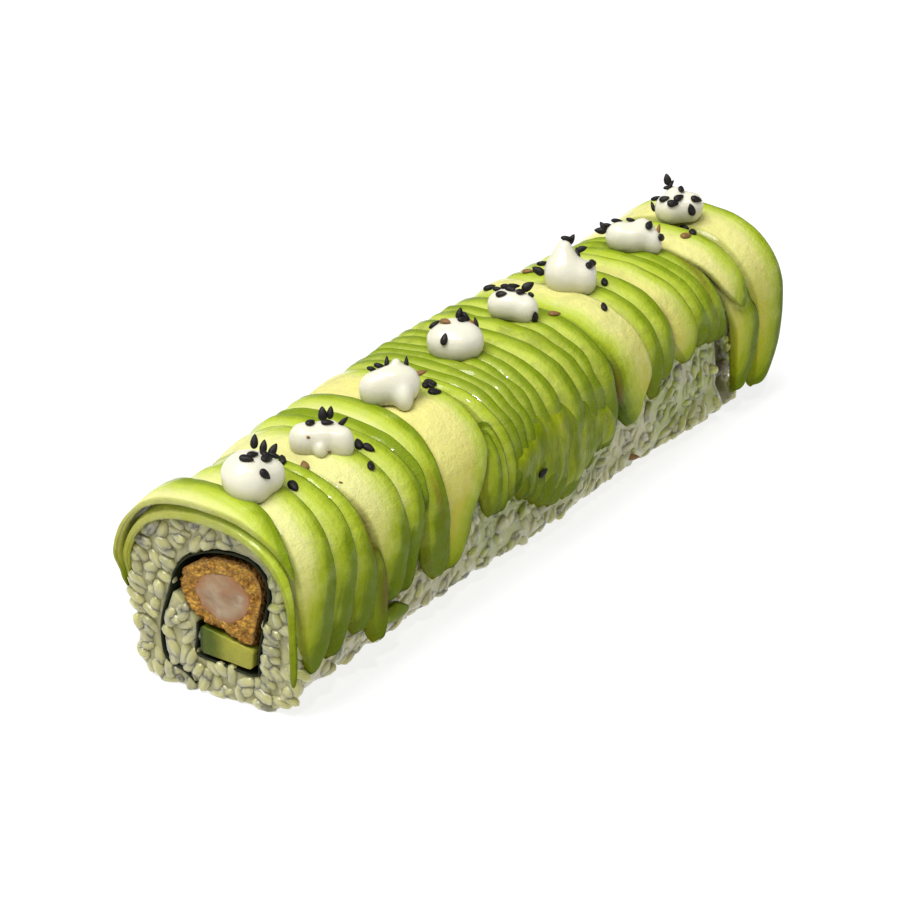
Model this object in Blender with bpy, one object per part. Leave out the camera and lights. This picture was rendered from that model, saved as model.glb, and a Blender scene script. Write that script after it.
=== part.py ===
"""Uramaki roll: a rice roll round a crumbed prawn, dressed with avocado slices and mayonnaise.

The roll lies along X with its shown end at -X, its base on Z = 0 and its middle over the
origin; everything is drawn first and moved there last.  A section of the roll is drawn in
(u, z): u = -Y is to the right as one looks at the shown end, and z is up.  Sizes are in
metres; the small tables are in millimetres and are scaled by MM where they are read.

The roll is one long roll with a single cut that stands open: a main length and an end slice.
Rice, nori, crumb coat, prawn and cucumber each run through both.  The avocado is laid on in
separate slices, each lapping over the next one, and a dollop of mayonnaise sits on every
portion.
"""
import math

import bmesh
import bpy
import numpy as np
from mathutils import Matrix

MM = 0.001

# Driving dimensions
ROLL_WIDTH = 47.7 * MM           # across the avocado
ROLL_HEIGHT = 46.7 * MM          # table to the top of the avocado
RICE_WIDTH = 40.3 * MM
RICE_HEIGHT = 40.7 * MM
FLANK_Z = ROLL_HEIGHT / 2        # height where the roll is widest
CLEARANCE = 0.35 * MM            # gap kept between two touching pieces
NORI_THICKNESS = 0.7 * MM
UPPER_EXPONENT = 2.53            # superellipse exponent of the rounded back
LOWER_EXPONENT = 2.95            # and of the dressing where it turns in below the flanks
RICE_BASE_EXPONENT = 3.6         # squarer where the rice settles on its base
BASE_SETTLE = 0.6 * MM           # how far the rice is pressed flat at its base

ROLL_MIDDLE = (-1.5 * MM, 1.1 * MM)      # the finished roll is moved so that this lies over the origin

# Knife planes, x = offset + per_u * u + per_z * z
NEAR_FACE = (-97.5 * MM, 0.105, 0.0)
CUT_NEAR_SIDE = (73.1 * MM, 0.15, -0.20)
CUT_FAR_SIDE = (75.7 * MM, 0.20, -0.24)
FAR_FACE = (95.5 * MM, 0.12, -0.03)

# Avocado
# How much thicker, mm, the slices lie over the far side at an x, and the girth angles over
# which that builds up
BACK_SWELL_AT = (-97.0, -90.0, -80.0, -72.0, -65.0, -40.0, -15.0, 10.0, 30.0, 45.0, 60.0, 80.0)
BACK_SWELL = (0.5, -1.4, -1.6, -1.4, 0.8, 1.2, 2.2, 2.2, 1.6, 0.8, -0.6, 0.0)
BACK_SWELL_RAMP = (104.0, 128.0)
LAP_STEP = 1.3 * MM              # rise of a slice's far edge over the next slice
LAP_LEAN = 2.0 * MM              # how far a slice reaches in under the one before it
LEAN_RUN_IN = 10.0               # mm from the first slice's far edge over which the lean builds up
HANGING_TUCK = 0.05              # inward draw of a slice that hangs down to the table
TIP_SHARE = 0.16                 # width of a slice's very end, as a share of its full width
FAR_SIDE_DRIFT = 2.0             # mm; the slices wander this much on their way to the far side
FAR_SIDE_WAVE = 18.0             # mm
OPENING_RAMP = (25.0, 50.0)      # girth angles over which a gap beside a slice closes again
END_TAPER = 14.0                 # degrees over which a slice narrows at its hidden end
STEP_LIMIT = 0.45                # most of a slice's thickness that its sunk side may take
MID_SINK = 0.3                   # how far its middle is sunk, as a share of that side
EDGE_SMOOTHING = (-12.0, -6.0, 0.0, 6.0, 12.0)    # degrees over which an edge's bends are eased
STATION_STEP = 19.0              # degrees between the sections along a slice, at most
TIP_STATIONS = (2.0, 7.0)        # degrees from each end, where its rounding needs sections

# Rice
RICE_STATIONS = 21
RICE_LOW_POINTS = 9              # outline points on each side below the avocado
RICE_COVERED_POINTS = 14         # and over the back, under it
RICE_BARE_BELOW = -29.0          # girth angle below which the rice shows
RICE_DENT = (0.1 * MM, 0.9 * MM)
RICE_BULGE = (-0.7 * MM, 0.6 * MM)
RICE_BASE_BAND = 0.3 * MM        # the outline is left flat where it is this near the table
RICE_SEED = 11
# Rice slumps outwards at its foot: by how much, mm, on the shown side at an x, and on the far side
SLUMP_AT = (-108.0, -94.0, -76.0, -30.0, -15.0, 45.0, 58.0, 72.0)
SLUMP = (1.2, 0.4, 0.0, 0.8, 2.0, 1.7, 3.6, 4.2)
SLUMP_FAR_SIDE = 2.6 * MM
SLUMP_HEIGHTS = (4.0 * MM, 10.0 * MM)    # in full below the first height, gone above the second
# Towards the end slice the foot is rounded away instead
HEEL_RUN_IN = (70.0 * MM, 79.0 * MM)
HEEL_HALF_WIDTH = 8.5 * MM
HEEL_SLOPE = 0.88                # how fast the heel widens with height

# Filling
FILLING_STATIONS = 11
CRUMB_POINTS = 18
CRUMB_ROUGHNESS = 0.5 * MM
PRAWN_POINTS = 14
ROLL_OVERRUN = 108 * MM          # fillings are drawn this far each way, then cut to length
SECTION_TO_ROLL = Matrix(((0.0, 0.0, -1.0), (-1.0, 0.0, 0.0), (0.0, 1.0, 0.0))).to_4x4()

# The nori's course in (u, z), mm: from its inner end beside the cucumber, round the filling,
# over itself, and out to its tail under the roll
NORI_COURSE = (
    (-4.3, 16.6), (-4.5, 13.0), (-4.8, 9.0), (-1.0, 8.3), (4.0, 7.9), (9.9, 7.9), (10.4, 12.0),
    (11.3, 17.5), (12.5, 23.5), (13.3, 27.5), (12.2, 32.0), (8.4, 34.7), (1.5, 34.6), (-5.2, 32.0),
    (-9.2, 27.8), (-10.9, 22.2), (-13.0, 15.6), (-13.4, 10.0), (-12.3, 5.6), (-8.0, 3.8), (-5.2, 1.6),
)
COURSE_SAMPLES = 41
POCKET_TOP = 29                  # sample of the course where the inner pocket of rice ends
POCKET_LID = ((-9.2, 21.2), (-7.4, 19.6), (-5.6, 17.7))     # its top, under the crumb coat
CUCUMBER_CORNERS = ((-3.7, 16.2), (-3.8, 9.7), (8.9, 8.9), (9.4, 13.7))
CRUMB_OUTLINE = (
    (-8.0, 26.8), (-5.0, 30.6), (-1.4, 32.4), (1.3, 33.4), (4.9, 33.5), (8.6, 33.2), (11.0, 31.2),
    (11.9, 27.9), (11.3, 23.6), (10.4, 20.0), (9.6, 16.4), (8.8, 14.4), (4.6, 15.5), (1.2, 16.3),
    (-1.7, 16.9), (-4.2, 18.0), (-6.6, 20.3), (-7.9, 23.4),
)
PRAWN_CENTRE = (2.1 * MM, 24.9 * MM)
PRAWN_HALF_SIZE = (6.2 * MM, 5.6 * MM)
PRAWN_SWELL = 0.06               # how much the meat's section varies along the roll
BORE_ALLOWANCE = 1.3             # the crumb coat's bore clears the meat by this many clearances

# Avocado slices, in order along the roll.  Each row gives the x of the slice's far edge at
# the top, the shoulder and the flank of the roll, then where its lower tip lies: x, girth
# angle and how many degrees it takes to narrow.  Girth angles run from 0 at the right flank
# over 90 at the top to 180 at the left flank, and below zero as the slice hangs towards the
# table.  "opening" is a gap left along the flank to the slice before, and "upper" is where a
# short slice ends, tucked in under its neighbours.
TOP, SHOULDER, FLANK = 90.0, 30.0, 0.0
LONG = 999.0
AVOCADO = (
    # top, shoulder, flank, tip x, tip angle, taper, opening, upper
    (-91.0, -96.3, -97.2, -97.8, 24, 30, 0.0, 190),
    (-82.5, -85.0, -87.0, -93.0, -24, 24, 0.0, LONG),
    (-77.5, -77.8, -79.5, -86.0, -21, 24, 0.0, LONG),
    (-75.0, -73.6, -72.2, -77.0, -17, 16, 0.0, LONG),
    (-75.0, -71.2, -69.2, -70.6, -31, 12, 0.0, 17),
    (-61.5, -60.3, -60.8, -66.0, -11, 14, 0.4, LONG),
    (-55.5, -53.6, -55.2, -61.3, -11, 20, 0.0, LONG),
    (-51.5, -50.8, -53.4, -52.8, 17, 20, 0.0, LONG),
    (-43.0, -46.0, -46.8, -48.5, -17, 14, 0.0, LONG),
    (-28.0, -28.8, -33.0, -44.0, -17, 30, 0.0, LONG),
    (-28.0, -26.6, -26.2, -28.3, -4, 9, 1.0, 42),
    (-28.0, -24.6, -23.9, -25.2, -5, 9, 0.0, 46),
    (-25.6, -21.5, -20.6, -21.9, -3, 10, 0.0, 118),
    (-21.8, -18.9, -17.8, -19.0, -2, 10, 0.0, LONG),
    (-18.4, -15.9, -15.0, -16.2, -6, 10, 0.0, LONG),
    (-15.4, -12.9, -12.2, -13.4, -8, 10, 0.0, LONG),
    (-12.0, -9.8, -9.3, -10.6, -13, 12, 0.0, LONG),
    (-8.3, -6.0, -5.5, -7.2, -19, 12, 0.0, LONG),
    (-4.0, -1.0, -0.6, -3.0, -24, 14, 0.0, LONG),
    (2.2, 6.6, 7.2, 3.6, -27, 14, 0.0, LONG),
    (8.2, 11.2, 11.8, 10.0, -14, 12, 0.0, LONG),
    (12.0, 15.0, 15.6, 14.0, -8, 12, 0.0, LONG),
    (18.6, 20.4, 20.3, 18.4, -9, 10, 0.0, LONG),
    (31.0, 35.5, 36.2, 29.0, -6, 12, 2.2, LONG),
    (37.4, 41.0, 41.2, 39.6, -2, 10, 0.0, LONG),
    (45.0, 46.9, 46.3, 44.0, 1, 10, 0.0, LONG),
    (52.5, 57.0, 58.4, 54.0, 2, 14, 0.9, LONG),
    (57.5, 61.8, 63.4, 61.2, 5, 12, 0.0, LONG),
    (61.2, 65.9, 67.9, 66.0, 3, 12, 0.0, LONG),
    (64.6, 69.4, 71.2, 70.0, 2, 12, 0.0, LONG),
)
HANGING = (0, 4)                 # rows of the first slice and of the thin one that hangs free
FIRST_EDGE = (-99.6, -98.8, -98.4, -102.0)   # near edge of the first slice, mm; last, the far side
FAR_SIDE_REACH = 186.0           # girth angle at which the long slices end on the far side
FAR_SIDE_SPREAD = 8.0            # and how much that varies

# Slices that lie under others: x of both edges at top, shoulder and flank, mm, and the girth
# angles of both ends
UNDER_SLICE = ((-99.0, -99.3, -98.8, -101.2), (-94.6, -97.2, -97.7, -95.0), (-27, 187))
UNDER_HANG = 0.5
LOW_STRIP = ((-68.6, -68.6, -68.6), (-60.2, -60.2, -60.2), (-30, -14))
LOW_STRIP_TAPER = 5.0
UNDER_LAYER = 0.56               # depth of a lower slice's outer face, as a share of the dressing
UPPER_LAYER = 0.36               # depth of the inner face of the slice that lies on it

# The end slice's avocado: x of each edge at top, shoulder and flank, mm
END_TOP_NEAR = (65.2, 71.6, 76.0)
END_TOP_FAR = (79.0, 81.6, 82.0)
END_WIDE_NEAR = (65.3, 71.4, 75.2)
END_WIDE_FAR = (83.4, 84.0, 88.0)
END_LAST_FAR = (96.2, 97.2, 98.6)
END_TOP_REACH = (12, 170)        # girth angles of the short slice's ends
END_WIDE_REACH = (-35, 212)      # the two long ones hang free below the flanks
END_LAST_REACH = (-44, 221)
END_TOP_TIP, END_WIDE_TIP, END_LAST_TIP = 79.5, 77.1, 88.4
END_TIP_TAPER = 24.0

# Mayonnaise dollops: centre (x, y) and height in mm, then lobes (along x, along y, up, radius)
DOLLOPS = (
    ((-88.1, -3.9), 7.5, (
        (0.0, 0.0, 3.4, 6.0), (1.6, -2.0, 3.8, 4.2),
    )),
    ((-65.9, -5.3), 5.2, (
        (-2.4, 2.6, 2.6, 4.2), (0.6, -0.6, 2.8, 4.4), (2.8, -3.6, 2.4, 3.8), (-1.6, -3.6, 1.2, 1.9),
    )),
    ((-38.8, -2.5), 7.2, (
        (-1.4, 2.0, 3.0, 5.0), (1.8, -2.0, 3.0, 4.8), (0.8, 0.6, 6.4, 3.0), (0.2, -4.6, 1.6, 2.6),
    )),
    ((-10.3, 0.3), 7.0, (
        (-1.2, 1.6, 3.2, 5.0), (1.4, -1.6, 3.0, 5.2), (0.2, 0.4, 5.4, 3.0),
    )),
    ((13.7, 1.1), 6.6, (
        (-2.0, 2.4, 2.8, 4.6), (1.6, -2.2, 2.6, 4.8), (0.4, 0.2, 4.2, 3.2),
    )),
    ((35.4, -0.1), 10.0, (
        (-0.6, 0.6, 3.0, 5.4), (1.8, -1.8, 2.6, 4.2), (-0.6, 1.0, 6.6, 3.2), (-1.4, 2.0, 9.0, 1.8),
    )),
    ((63.9, 0.2), 6.2, (
        (-3.0, 3.6, 2.8, 4.2), (0.4, -0.4, 2.8, 4.2), (2.8, -3.6, 2.8, 4.2), (1.8, -1.0, 4.6, 2.8),
    )),
    ((84.7, -0.8), 7.4, (
        (-2.4, 2.8, 2.8, 4.2), (1.4, -1.8, 2.8, 4.5), (-1.2, 2.2, 5.6, 3.2), (1.0, -0.6, 4.2, 2.8),
    )),
)
LOBE_BLEND = 3.2                 # how sharply two lobes run into each other
DOLLOP_SEGMENTS = 12
DOLLOP_RINGS = 7
DOLLOP_LIMIT = 20 * MM           # farther out than any dollop reaches from its core

# Base colour and roughness of each food
LOOKS = {
    "rice": ((0.72, 0.73, 0.62), 0.45),
    "nori": ((0.012, 0.016, 0.010), 0.55),
    "crumb": ((0.62, 0.27, 0.06), 0.8),
    "prawn": ((0.80, 0.52, 0.42), 0.4),
    "cucumber": ((0.50, 0.58, 0.16), 0.35),
    "avocado": ((0.45, 0.58, 0.12), 0.4),
    "mayonnaise": ((0.90, 0.87, 0.76), 0.3),
}


# Scene and materials ---------------------------------------------------------------------

def clear_scene():
    for existing in list(bpy.data.objects):
        bpy.data.objects.remove(existing, do_unlink=True)


def new_collection(name):
    collection = bpy.data.collections.new(name)
    bpy.context.scene.collection.children.link(collection)
    return collection


def food_material(name, look):
    colour, roughness = LOOKS[look]
    material = bpy.data.materials.new(name)
    material.use_nodes = True
    material.diffuse_color = (*colour, 1.0)
    shader = material.node_tree.nodes["Principled BSDF"]
    shader.inputs["Base Color"].default_value = (*colour, 1.0)
    shader.inputs["Roughness"].default_value = roughness
    shader.inputs["Metallic"].default_value = 0.0
    return material


# Section geometry ------------------------------------------------------------------------

def signed_power(values, exponent):
    return np.sign(values) * np.abs(values) ** exponent


def plane_x(plane, u, z):
    """x of a knife plane over the section point (u, z)."""
    offset, per_u, per_z = plane
    return offset + per_u * u + per_z * z


def smooth_course(points, samples, closed=False):
    """Catmull-Rom curve through section points given in mm, as metres."""
    knots = np.array(points, dtype=float) * MM
    if closed:
        knots = np.vstack((knots[-1], knots, knots[0], knots[1]))
    else:
        knots = np.vstack((2 * knots[0] - knots[1], knots, 2 * knots[-1] - knots[-2]))
    spans = len(knots) - 3
    at = np.linspace(0.0, spans, samples, endpoint=not closed)
    index = np.minimum(at.astype(int), spans - 1)
    f = (at - index)[:, None]
    p0, p1, p2, p3 = (knots[index + k] for k in range(4))
    return 0.5 * (2 * p1 + (p2 - p0) * f + (2 * p0 - 5 * p1 + 4 * p2 - p3) * f ** 2
                  + (3 * p1 - p0 - 3 * p2 + p3) * f ** 3)


def offset_course(course, distance):
    """The course moved sideways: a positive distance is to the right of its direction."""
    ahead = np.gradient(course, axis=0)
    ahead /= np.linalg.norm(ahead, axis=1, keepdims=True)
    return course + distance * np.stack((ahead[:, 1], -ahead[:, 0]), axis=1)


def rice_outline(angles):
    """The rice's outer face: rounded above its flanks, squarer below, flat on its base."""
    cosine, sine = np.cos(angles), np.sin(angles)
    above = sine >= 0
    exponent = np.where(above, 2 / UPPER_EXPONENT, 2 / RICE_BASE_EXPONENT)
    rise = np.where(above, RICE_HEIGHT - FLANK_Z, FLANK_Z + BASE_SETTLE)
    u = RICE_WIDTH / 2 * signed_power(cosine, exponent)
    z = FLANK_Z + rise * signed_power(sine, exponent)
    return np.stack((u, np.maximum(z, 0.0)), axis=1)


def rice_half_width(z):
    """Half the rice's width at a height below its flanks."""
    share = np.clip((FLANK_Z - z) / (FLANK_Z + BASE_SETTLE), 0.0, 1.0)
    return RICE_WIDTH / 2 * (1.0 - share ** RICE_BASE_EXPONENT) ** (1.0 / RICE_BASE_EXPONENT)


def folded_angle(angle):
    """A girth angle on the far side as the same height's angle on the shown side."""
    return np.where(angle > 90.0, 180.0 - angle, angle)


def avocado_outer(angle, hang):
    """The roll's dressed surface at girth angles in degrees.

    Below the flanks a slice follows the rice in (hang 0) or hangs straight down (hang 1).
    """
    folded = folded_angle(angle)
    turn = np.radians(np.maximum(folded, 0.0))
    under = np.radians(np.clip(-folded, 0.0, 90.0))
    tucked = np.cos(under) ** (2 / LOWER_EXPONENT)
    straight = 1.0 - HANGING_TUCK * (under / math.radians(90.0)) ** 2
    u = ROLL_WIDTH / 2 * np.cos(turn) ** (2 / UPPER_EXPONENT) * (tucked + (straight - tucked) * hang)
    z = FLANK_Z + (ROLL_HEIGHT - FLANK_Z) * np.sin(turn) ** (2 / UPPER_EXPONENT)
    z = z - FLANK_Z * np.sin(under) ** (2 / LOWER_EXPONENT)
    return np.stack((np.where(angle > 90.0, -u, u), z), axis=-1)


def back_swollen(section, angle, x):
    """The dressed surface moved out, or in, where the slices lie thicker over the far side."""
    amount = np.interp(x, np.array(BACK_SWELL_AT) * MM, np.array(BACK_SWELL) * MM)
    amount = amount * np.interp(angle, BACK_SWELL_RAMP, (0.0, 1.0))
    outward = section - np.array((0.0, FLANK_Z))
    return section + outward / np.linalg.norm(outward, axis=1, keepdims=True) * amount[:, None]


def avocado_inner(angle, hang):
    """The face that lies on the rice, at the same girth angles."""
    folded = folded_angle(angle)
    turn = np.radians(np.maximum(folded, 0.0))
    rise = RICE_HEIGHT + CLEARANCE - FLANK_Z
    outer_z = avocado_outer(angle, hang)[..., 1]
    widest = RICE_WIDTH / 2
    below = rice_half_width(outer_z)
    below = below + (widest - below) * hang
    u = np.where(folded < 0.0, below + CLEARANCE, (widest + CLEARANCE) * np.cos(turn) ** (2 / UPPER_EXPONENT))
    z = np.where(folded < 0.0, outer_z, FLANK_Z + rise * np.sin(turn) ** (2 / UPPER_EXPONENT))
    return np.stack((np.where(angle > 90.0, -u, u), z), axis=-1)


# Solids ----------------------------------------------------------------------------------

def loft(name, rings):
    """A closed body through rings of equal point count, shape (stations, points, 3)."""
    stations, points = rings.shape[:2]
    mesh = bpy.data.meshes.new(name)
    index = np.arange(stations * points).reshape(stations, points)
    after = np.roll(index, -1, axis=1)
    sides = np.stack((index[:-1], after[:-1], after[1:], index[1:]), axis=-1).reshape(-1, 4)
    faces = sides.tolist() + [index[0, ::-1].tolist(), index[-1].tolist()]
    mesh.from_pydata(rings.reshape(-1, 3).tolist(), [], faces)
    body = bmesh.new()
    body.from_mesh(mesh)
    bmesh.ops.triangulate(body, faces=body.faces, ngon_method="EAR_CLIP")
    if body.calc_volume(signed=True) < 0.0:
        bmesh.ops.reverse_faces(body, faces=body.faces)
    body.to_mesh(mesh)
    body.free()
    return mesh


def carried_along_roll(section_at, stations):
    """Rings of a section carried the whole length of the roll; section_at(k, x) is (points, 2)."""
    places = np.linspace(-ROLL_OVERRUN, ROLL_OVERRUN, stations)
    rings = []
    for k, x in enumerate(places):
        section = section_at(k, x)
        rings.append(np.column_stack((np.full(len(section), x), -section[:, 0], section[:, 1])))
    return np.array(rings)


def rice_foot(rim, x):
    """The lower part of the rice at x: slumped outwards, or rounded away towards the end slice."""
    full, gone = SLUMP_HEIGHTS
    weight = np.clip((gone - rim[:, 1]) / (gone - full), 0.0, 1.0)
    shown_side = np.interp(x, np.array(SLUMP_AT) * MM, np.array(SLUMP) * MM)
    u = rim[:, 0] + weight * np.where(rim[:, 0] > 0.0, shown_side, -SLUMP_FAR_SIDE)
    heel = np.minimum(np.abs(u), HEEL_HALF_WIDTH + HEEL_SLOPE * rim[:, 1]) * np.sign(u)
    share = np.interp(x, HEEL_RUN_IN, (0.0, 1.0))
    return np.stack((u + (heel - u) * share, rim[:, 1]), axis=1)


def rice_section(rng, x):
    """Outline of the rice at x, uneven: pressed in under the avocado, grains standing out below."""
    angles = np.radians(np.concatenate((
        np.linspace(-88.0, RICE_BARE_BELOW, RICE_LOW_POINTS),
        np.linspace(RICE_BARE_BELOW, 180.0 - RICE_BARE_BELOW, RICE_COVERED_POINTS + 2)[1:-1],
        np.linspace(180.0 - RICE_BARE_BELOW, 268.0, RICE_LOW_POINTS))))
    rim = rice_foot(rice_outline(angles), x)
    bare = np.sin(angles) < math.sin(math.radians(RICE_BARE_BELOW + 2.0))
    dent = rng.uniform(*RICE_DENT, len(angles))
    dent = np.where(bare, rng.uniform(*RICE_BULGE, len(angles)), dent)
    dent[rim[:, 1] < RICE_BASE_BAND] = 0.0
    towards = np.array((0.0, FLANK_Z)) - rim
    return rim + towards / np.linalg.norm(towards, axis=1, keepdims=True) * dent[:, None]


def chamber_outline():
    """What the rice is wound round: the filling, and the slot that the nori winds out through."""
    course = smooth_course(NORI_COURSE, COURSE_SAMPLES)
    stand_off = NORI_THICKNESS / 2 + CLEARANCE
    outside = offset_course(course, stand_off)
    inside = offset_course(course, -stand_off)
    return np.vstack((inside[:POCKET_TOP:-1], np.array(POCKET_LID) * MM, outside))


def extruded_outline(name, outline):
    """A section outline in (u, z), drawn out along the whole roll as a welded mesh."""
    curve = bpy.data.curves.new(name, "CURVE")
    curve.dimensions = "2D"
    curve.fill_mode = "BOTH"
    curve.extrude = ROLL_OVERRUN
    spline = curve.splines.new("POLY")
    spline.points.add(len(outline) - 1)
    for point, (u, z) in zip(spline.points, outline):
        point.co = (u, z, 0.0, 1.0)
    spline.use_cyclic_u = True
    holder = bpy.data.objects.new(name, curve)
    bpy.context.scene.collection.objects.link(holder)
    graph = bpy.context.evaluated_depsgraph_get()
    mesh = bpy.data.meshes.new_from_object(holder.evaluated_get(graph))
    bpy.data.objects.remove(holder, do_unlink=True)
    mesh.transform(SECTION_TO_ROLL)
    body = bmesh.new()
    body.from_mesh(mesh)
    bmesh.ops.remove_doubles(body, verts=body.verts, dist=0.00001)
    bmesh.ops.recalc_face_normals(body, faces=body.faces)
    body.to_mesh(mesh)
    body.free()
    return mesh


def nori_outline():
    """The sheet's two faces, half a thickness each side of its course."""
    course = smooth_course(NORI_COURSE, COURSE_SAMPLES)
    return np.vstack((offset_course(course, NORI_THICKNESS / 2),
                      offset_course(course, -NORI_THICKNESS / 2)[::-1]))


def crumb_section(rng):
    """The crumb coat's outer outline, a little rougher at each station."""
    outline = smooth_course(CRUMB_OUTLINE, CRUMB_POINTS, closed=True)
    middle = outline.mean(axis=0)
    inward = rng.uniform(0.0, CRUMB_ROUGHNESS, CRUMB_POINTS)[:, None]
    towards = middle - outline
    return outline + towards / np.linalg.norm(towards, axis=1, keepdims=True) * inward


def prawn_section(angles, swell):
    """The prawn's meat: an ellipse that swells and shrinks along the roll."""
    half_width, half_height = np.array(PRAWN_HALF_SIZE) * (1.0 - PRAWN_SWELL + PRAWN_SWELL * swell)
    return np.stack((PRAWN_CENTRE[0] + half_width * np.cos(angles),
                     PRAWN_CENTRE[1] + half_height * np.sin(angles)), axis=1)


def new_cutter(name, mesh, collection):
    cutter = bpy.data.objects.new(name, mesh)
    cutter.hide_render = True
    cutter.display_type = "WIRE"
    collection.objects.link(cutter)
    return cutter


def slab_between(name, start_plane, end_plane, collection):
    """A cutter that fills the space between two knife planes."""
    mesh = bpy.data.meshes.new(name)
    body = bmesh.new()
    bmesh.ops.create_cube(body, size=2.0)
    for vertex in body.verts:
        u, z = -vertex.co.y * ROLL_WIDTH, FLANK_Z + vertex.co.z * ROLL_HEIGHT
        plane = start_plane if vertex.co.x < 0 else end_plane
        vertex.co = (plane_x(plane, u, z), -u, z)
    body.to_mesh(mesh)
    body.free()
    return new_cutter(name, mesh, collection)


def cut_by(obj, cutter, operation):
    modifier = obj.modifiers.new(operation.lower(), "BOOLEAN")
    modifier.operation = operation
    modifier.solver = "EXACT"
    modifier.object = cutter


def make_fillings(parts, cutters):
    """Rice, nori, crumb coat, prawn and cucumber, each run through and cut in two lengths."""
    rng = np.random.default_rng(RICE_SEED)
    slabs = {
        "main": slab_between("main_length", NEAR_FACE, CUT_NEAR_SIDE, cutters),
        "end": slab_between("end_length", CUT_FAR_SIDE, FAR_FACE, cutters),
    }
    turn = np.linspace(0.0, 2 * math.pi, PRAWN_POINTS, endpoint=False)
    swell = rng.uniform(-1.0, 1.0, FILLING_STATIONS)
    bore_gap = 1.0 + BORE_ALLOWANCE * CLEARANCE / min(PRAWN_HALF_SIZE)
    bore_centre = np.array(PRAWN_CENTRE)

    def bore_section(k, x):
        return bore_centre + (prawn_section(turn, swell[k]) - bore_centre) * bore_gap

    rice = carried_along_roll(lambda k, x: rice_section(rng, x), RICE_STATIONS)
    crumb = carried_along_roll(lambda k, x: crumb_section(rng), FILLING_STATIONS)
    prawn = carried_along_roll(lambda k, x: prawn_section(turn, swell[k]), FILLING_STATIONS)
    runs = {
        "rice": loft("rice", rice),
        "nori": extruded_outline("nori", nori_outline()),
        "crumb": loft("crumb", crumb),
        "prawn": loft("prawn", prawn),
        "cucumber": extruded_outline("cucumber", np.array(CUCUMBER_CORNERS) * MM),
    }
    bore_mesh = loft("prawn_bore", carried_along_roll(bore_section, FILLING_STATIONS))
    hollows = {
        "rice": new_cutter("chamber", extruded_outline("chamber", chamber_outline()), cutters),
        "crumb": new_cutter("prawn_bore", bore_mesh, cutters),
    }
    for filling, mesh in runs.items():
        mesh.materials.append(food_material(filling, filling))
        for length, slab in slabs.items():
            obj = bpy.data.objects.new(f"{filling}_{length}", mesh)
            parts.objects.link(obj)
            if filling in hollows:
                cut_by(obj, hollows[filling], "DIFFERENCE")
            cut_by(obj, slab, "INTERSECT")


def edge_at(edge, angle):
    """x of a slice's edge, in metres, from its mm values at the top, shoulder and flank.

    A fourth value places it on the far side; without one the edge wanders there from the top.
    """
    top, shoulder, flank, *far_side = edge
    far_side = far_side[0] if far_side else top + FAR_SIDE_DRIFT * math.sin(top / FAR_SIDE_WAVE)
    nearby = angle + np.array(EDGE_SMOOTHING)[:, None]
    values = np.interp(nearby, (FLANK, SHOULDER, TOP, 180.0), (flank, shoulder, top, far_side))
    return values.mean(axis=0) * MM


def slice_stations(reach):
    """Girth angles of a slice's sections: even steps, with more at both ends."""
    low, high = reach
    inset = np.array(TIP_STATIONS)
    steps = max(2, math.ceil((high - low - 2 * inset[-1]) / STATION_STEP))
    even = np.linspace(low + inset[-1], high - inset[-1], steps + 1)
    return np.concatenate(([low], low + inset[:-1], even, high - inset[:-1], [high]))


def avocado_slice(near, far, reach, tip_x=None, taper=(END_TAPER, END_TAPER), lean=(0.0, 0.0),
                  layer=(0.0, 1.0), opening=0.0, hang=0.0):
    """Rings of one slice, from its lower end on the shown side over the roll to its other end.

    near and far are its edges, reach the girth angles of its ends, layer the depths of its
    outer and inner faces as shares of the dressing, and lean how far each side slopes back.
    """
    angle = slice_stations(reach)
    x_near = edge_at(near, angle) + CLEARANCE / 2
    x_near = x_near + opening * MM * np.interp(angle, OPENING_RAMP, (1.0, 0.0))
    x_far = edge_at(far, angle) - CLEARANCE / 2
    for end, width in zip(reach, taper):
        along = np.clip(np.abs(angle - end) / width, 0.0, 1.0)
        share = TIP_SHARE + (1.0 - TIP_SHARE) * np.sqrt(1.0 - (1.0 - along) ** 2)
        middle = (x_near + x_far) / 2
        point = tip_x * MM if tip_x is not None and end == reach[0] else middle
        x_near, x_far = point + (x_near - point) * share, point + (x_far - point) * share
    outer = back_swollen(avocado_outer(angle, hang), angle, (x_near + x_far) / 2)
    inner = avocado_inner(angle, hang)
    dressing = np.linalg.norm(outer - inner, axis=1)
    step = LAP_STEP / dressing
    top, bottom = np.broadcast_to(layer[0], angle.shape), layer[1]
    sunk = np.minimum(step, (bottom - top) * STEP_LIMIT)
    corners = (
        (x_near - lean[0] * top, top + sunk),
        ((x_near + x_far) / 2, top + sunk * MID_SINK),
        (x_far - lean[1] * top, top),
        (x_far - lean[1] * bottom, np.full_like(angle, bottom)),
        (x_near - lean[0] * bottom, np.full_like(angle, bottom)),
    )
    ring = []
    for x, depth in corners:
        section = outer + (inner - outer) * depth[:, None]
        ring.append(np.column_stack((x, -section[:, 0], section[:, 1])))
    return np.stack(ring, axis=1)


def lean_of(edge):
    """How far a far edge leans back over the next slice: not at all on the first, then fully."""
    return LAP_LEAN * min((edge[0] - AVOCADO[0][0]) / LEAN_RUN_IN, 1.0)


def add_slices(names, rings, parts):
    for name, ring in zip(names, rings):
        mesh = loft(name, ring)
        mesh.materials.append(food_material(name, "avocado"))
        parts.objects.link(bpy.data.objects.new(name, mesh))


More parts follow.
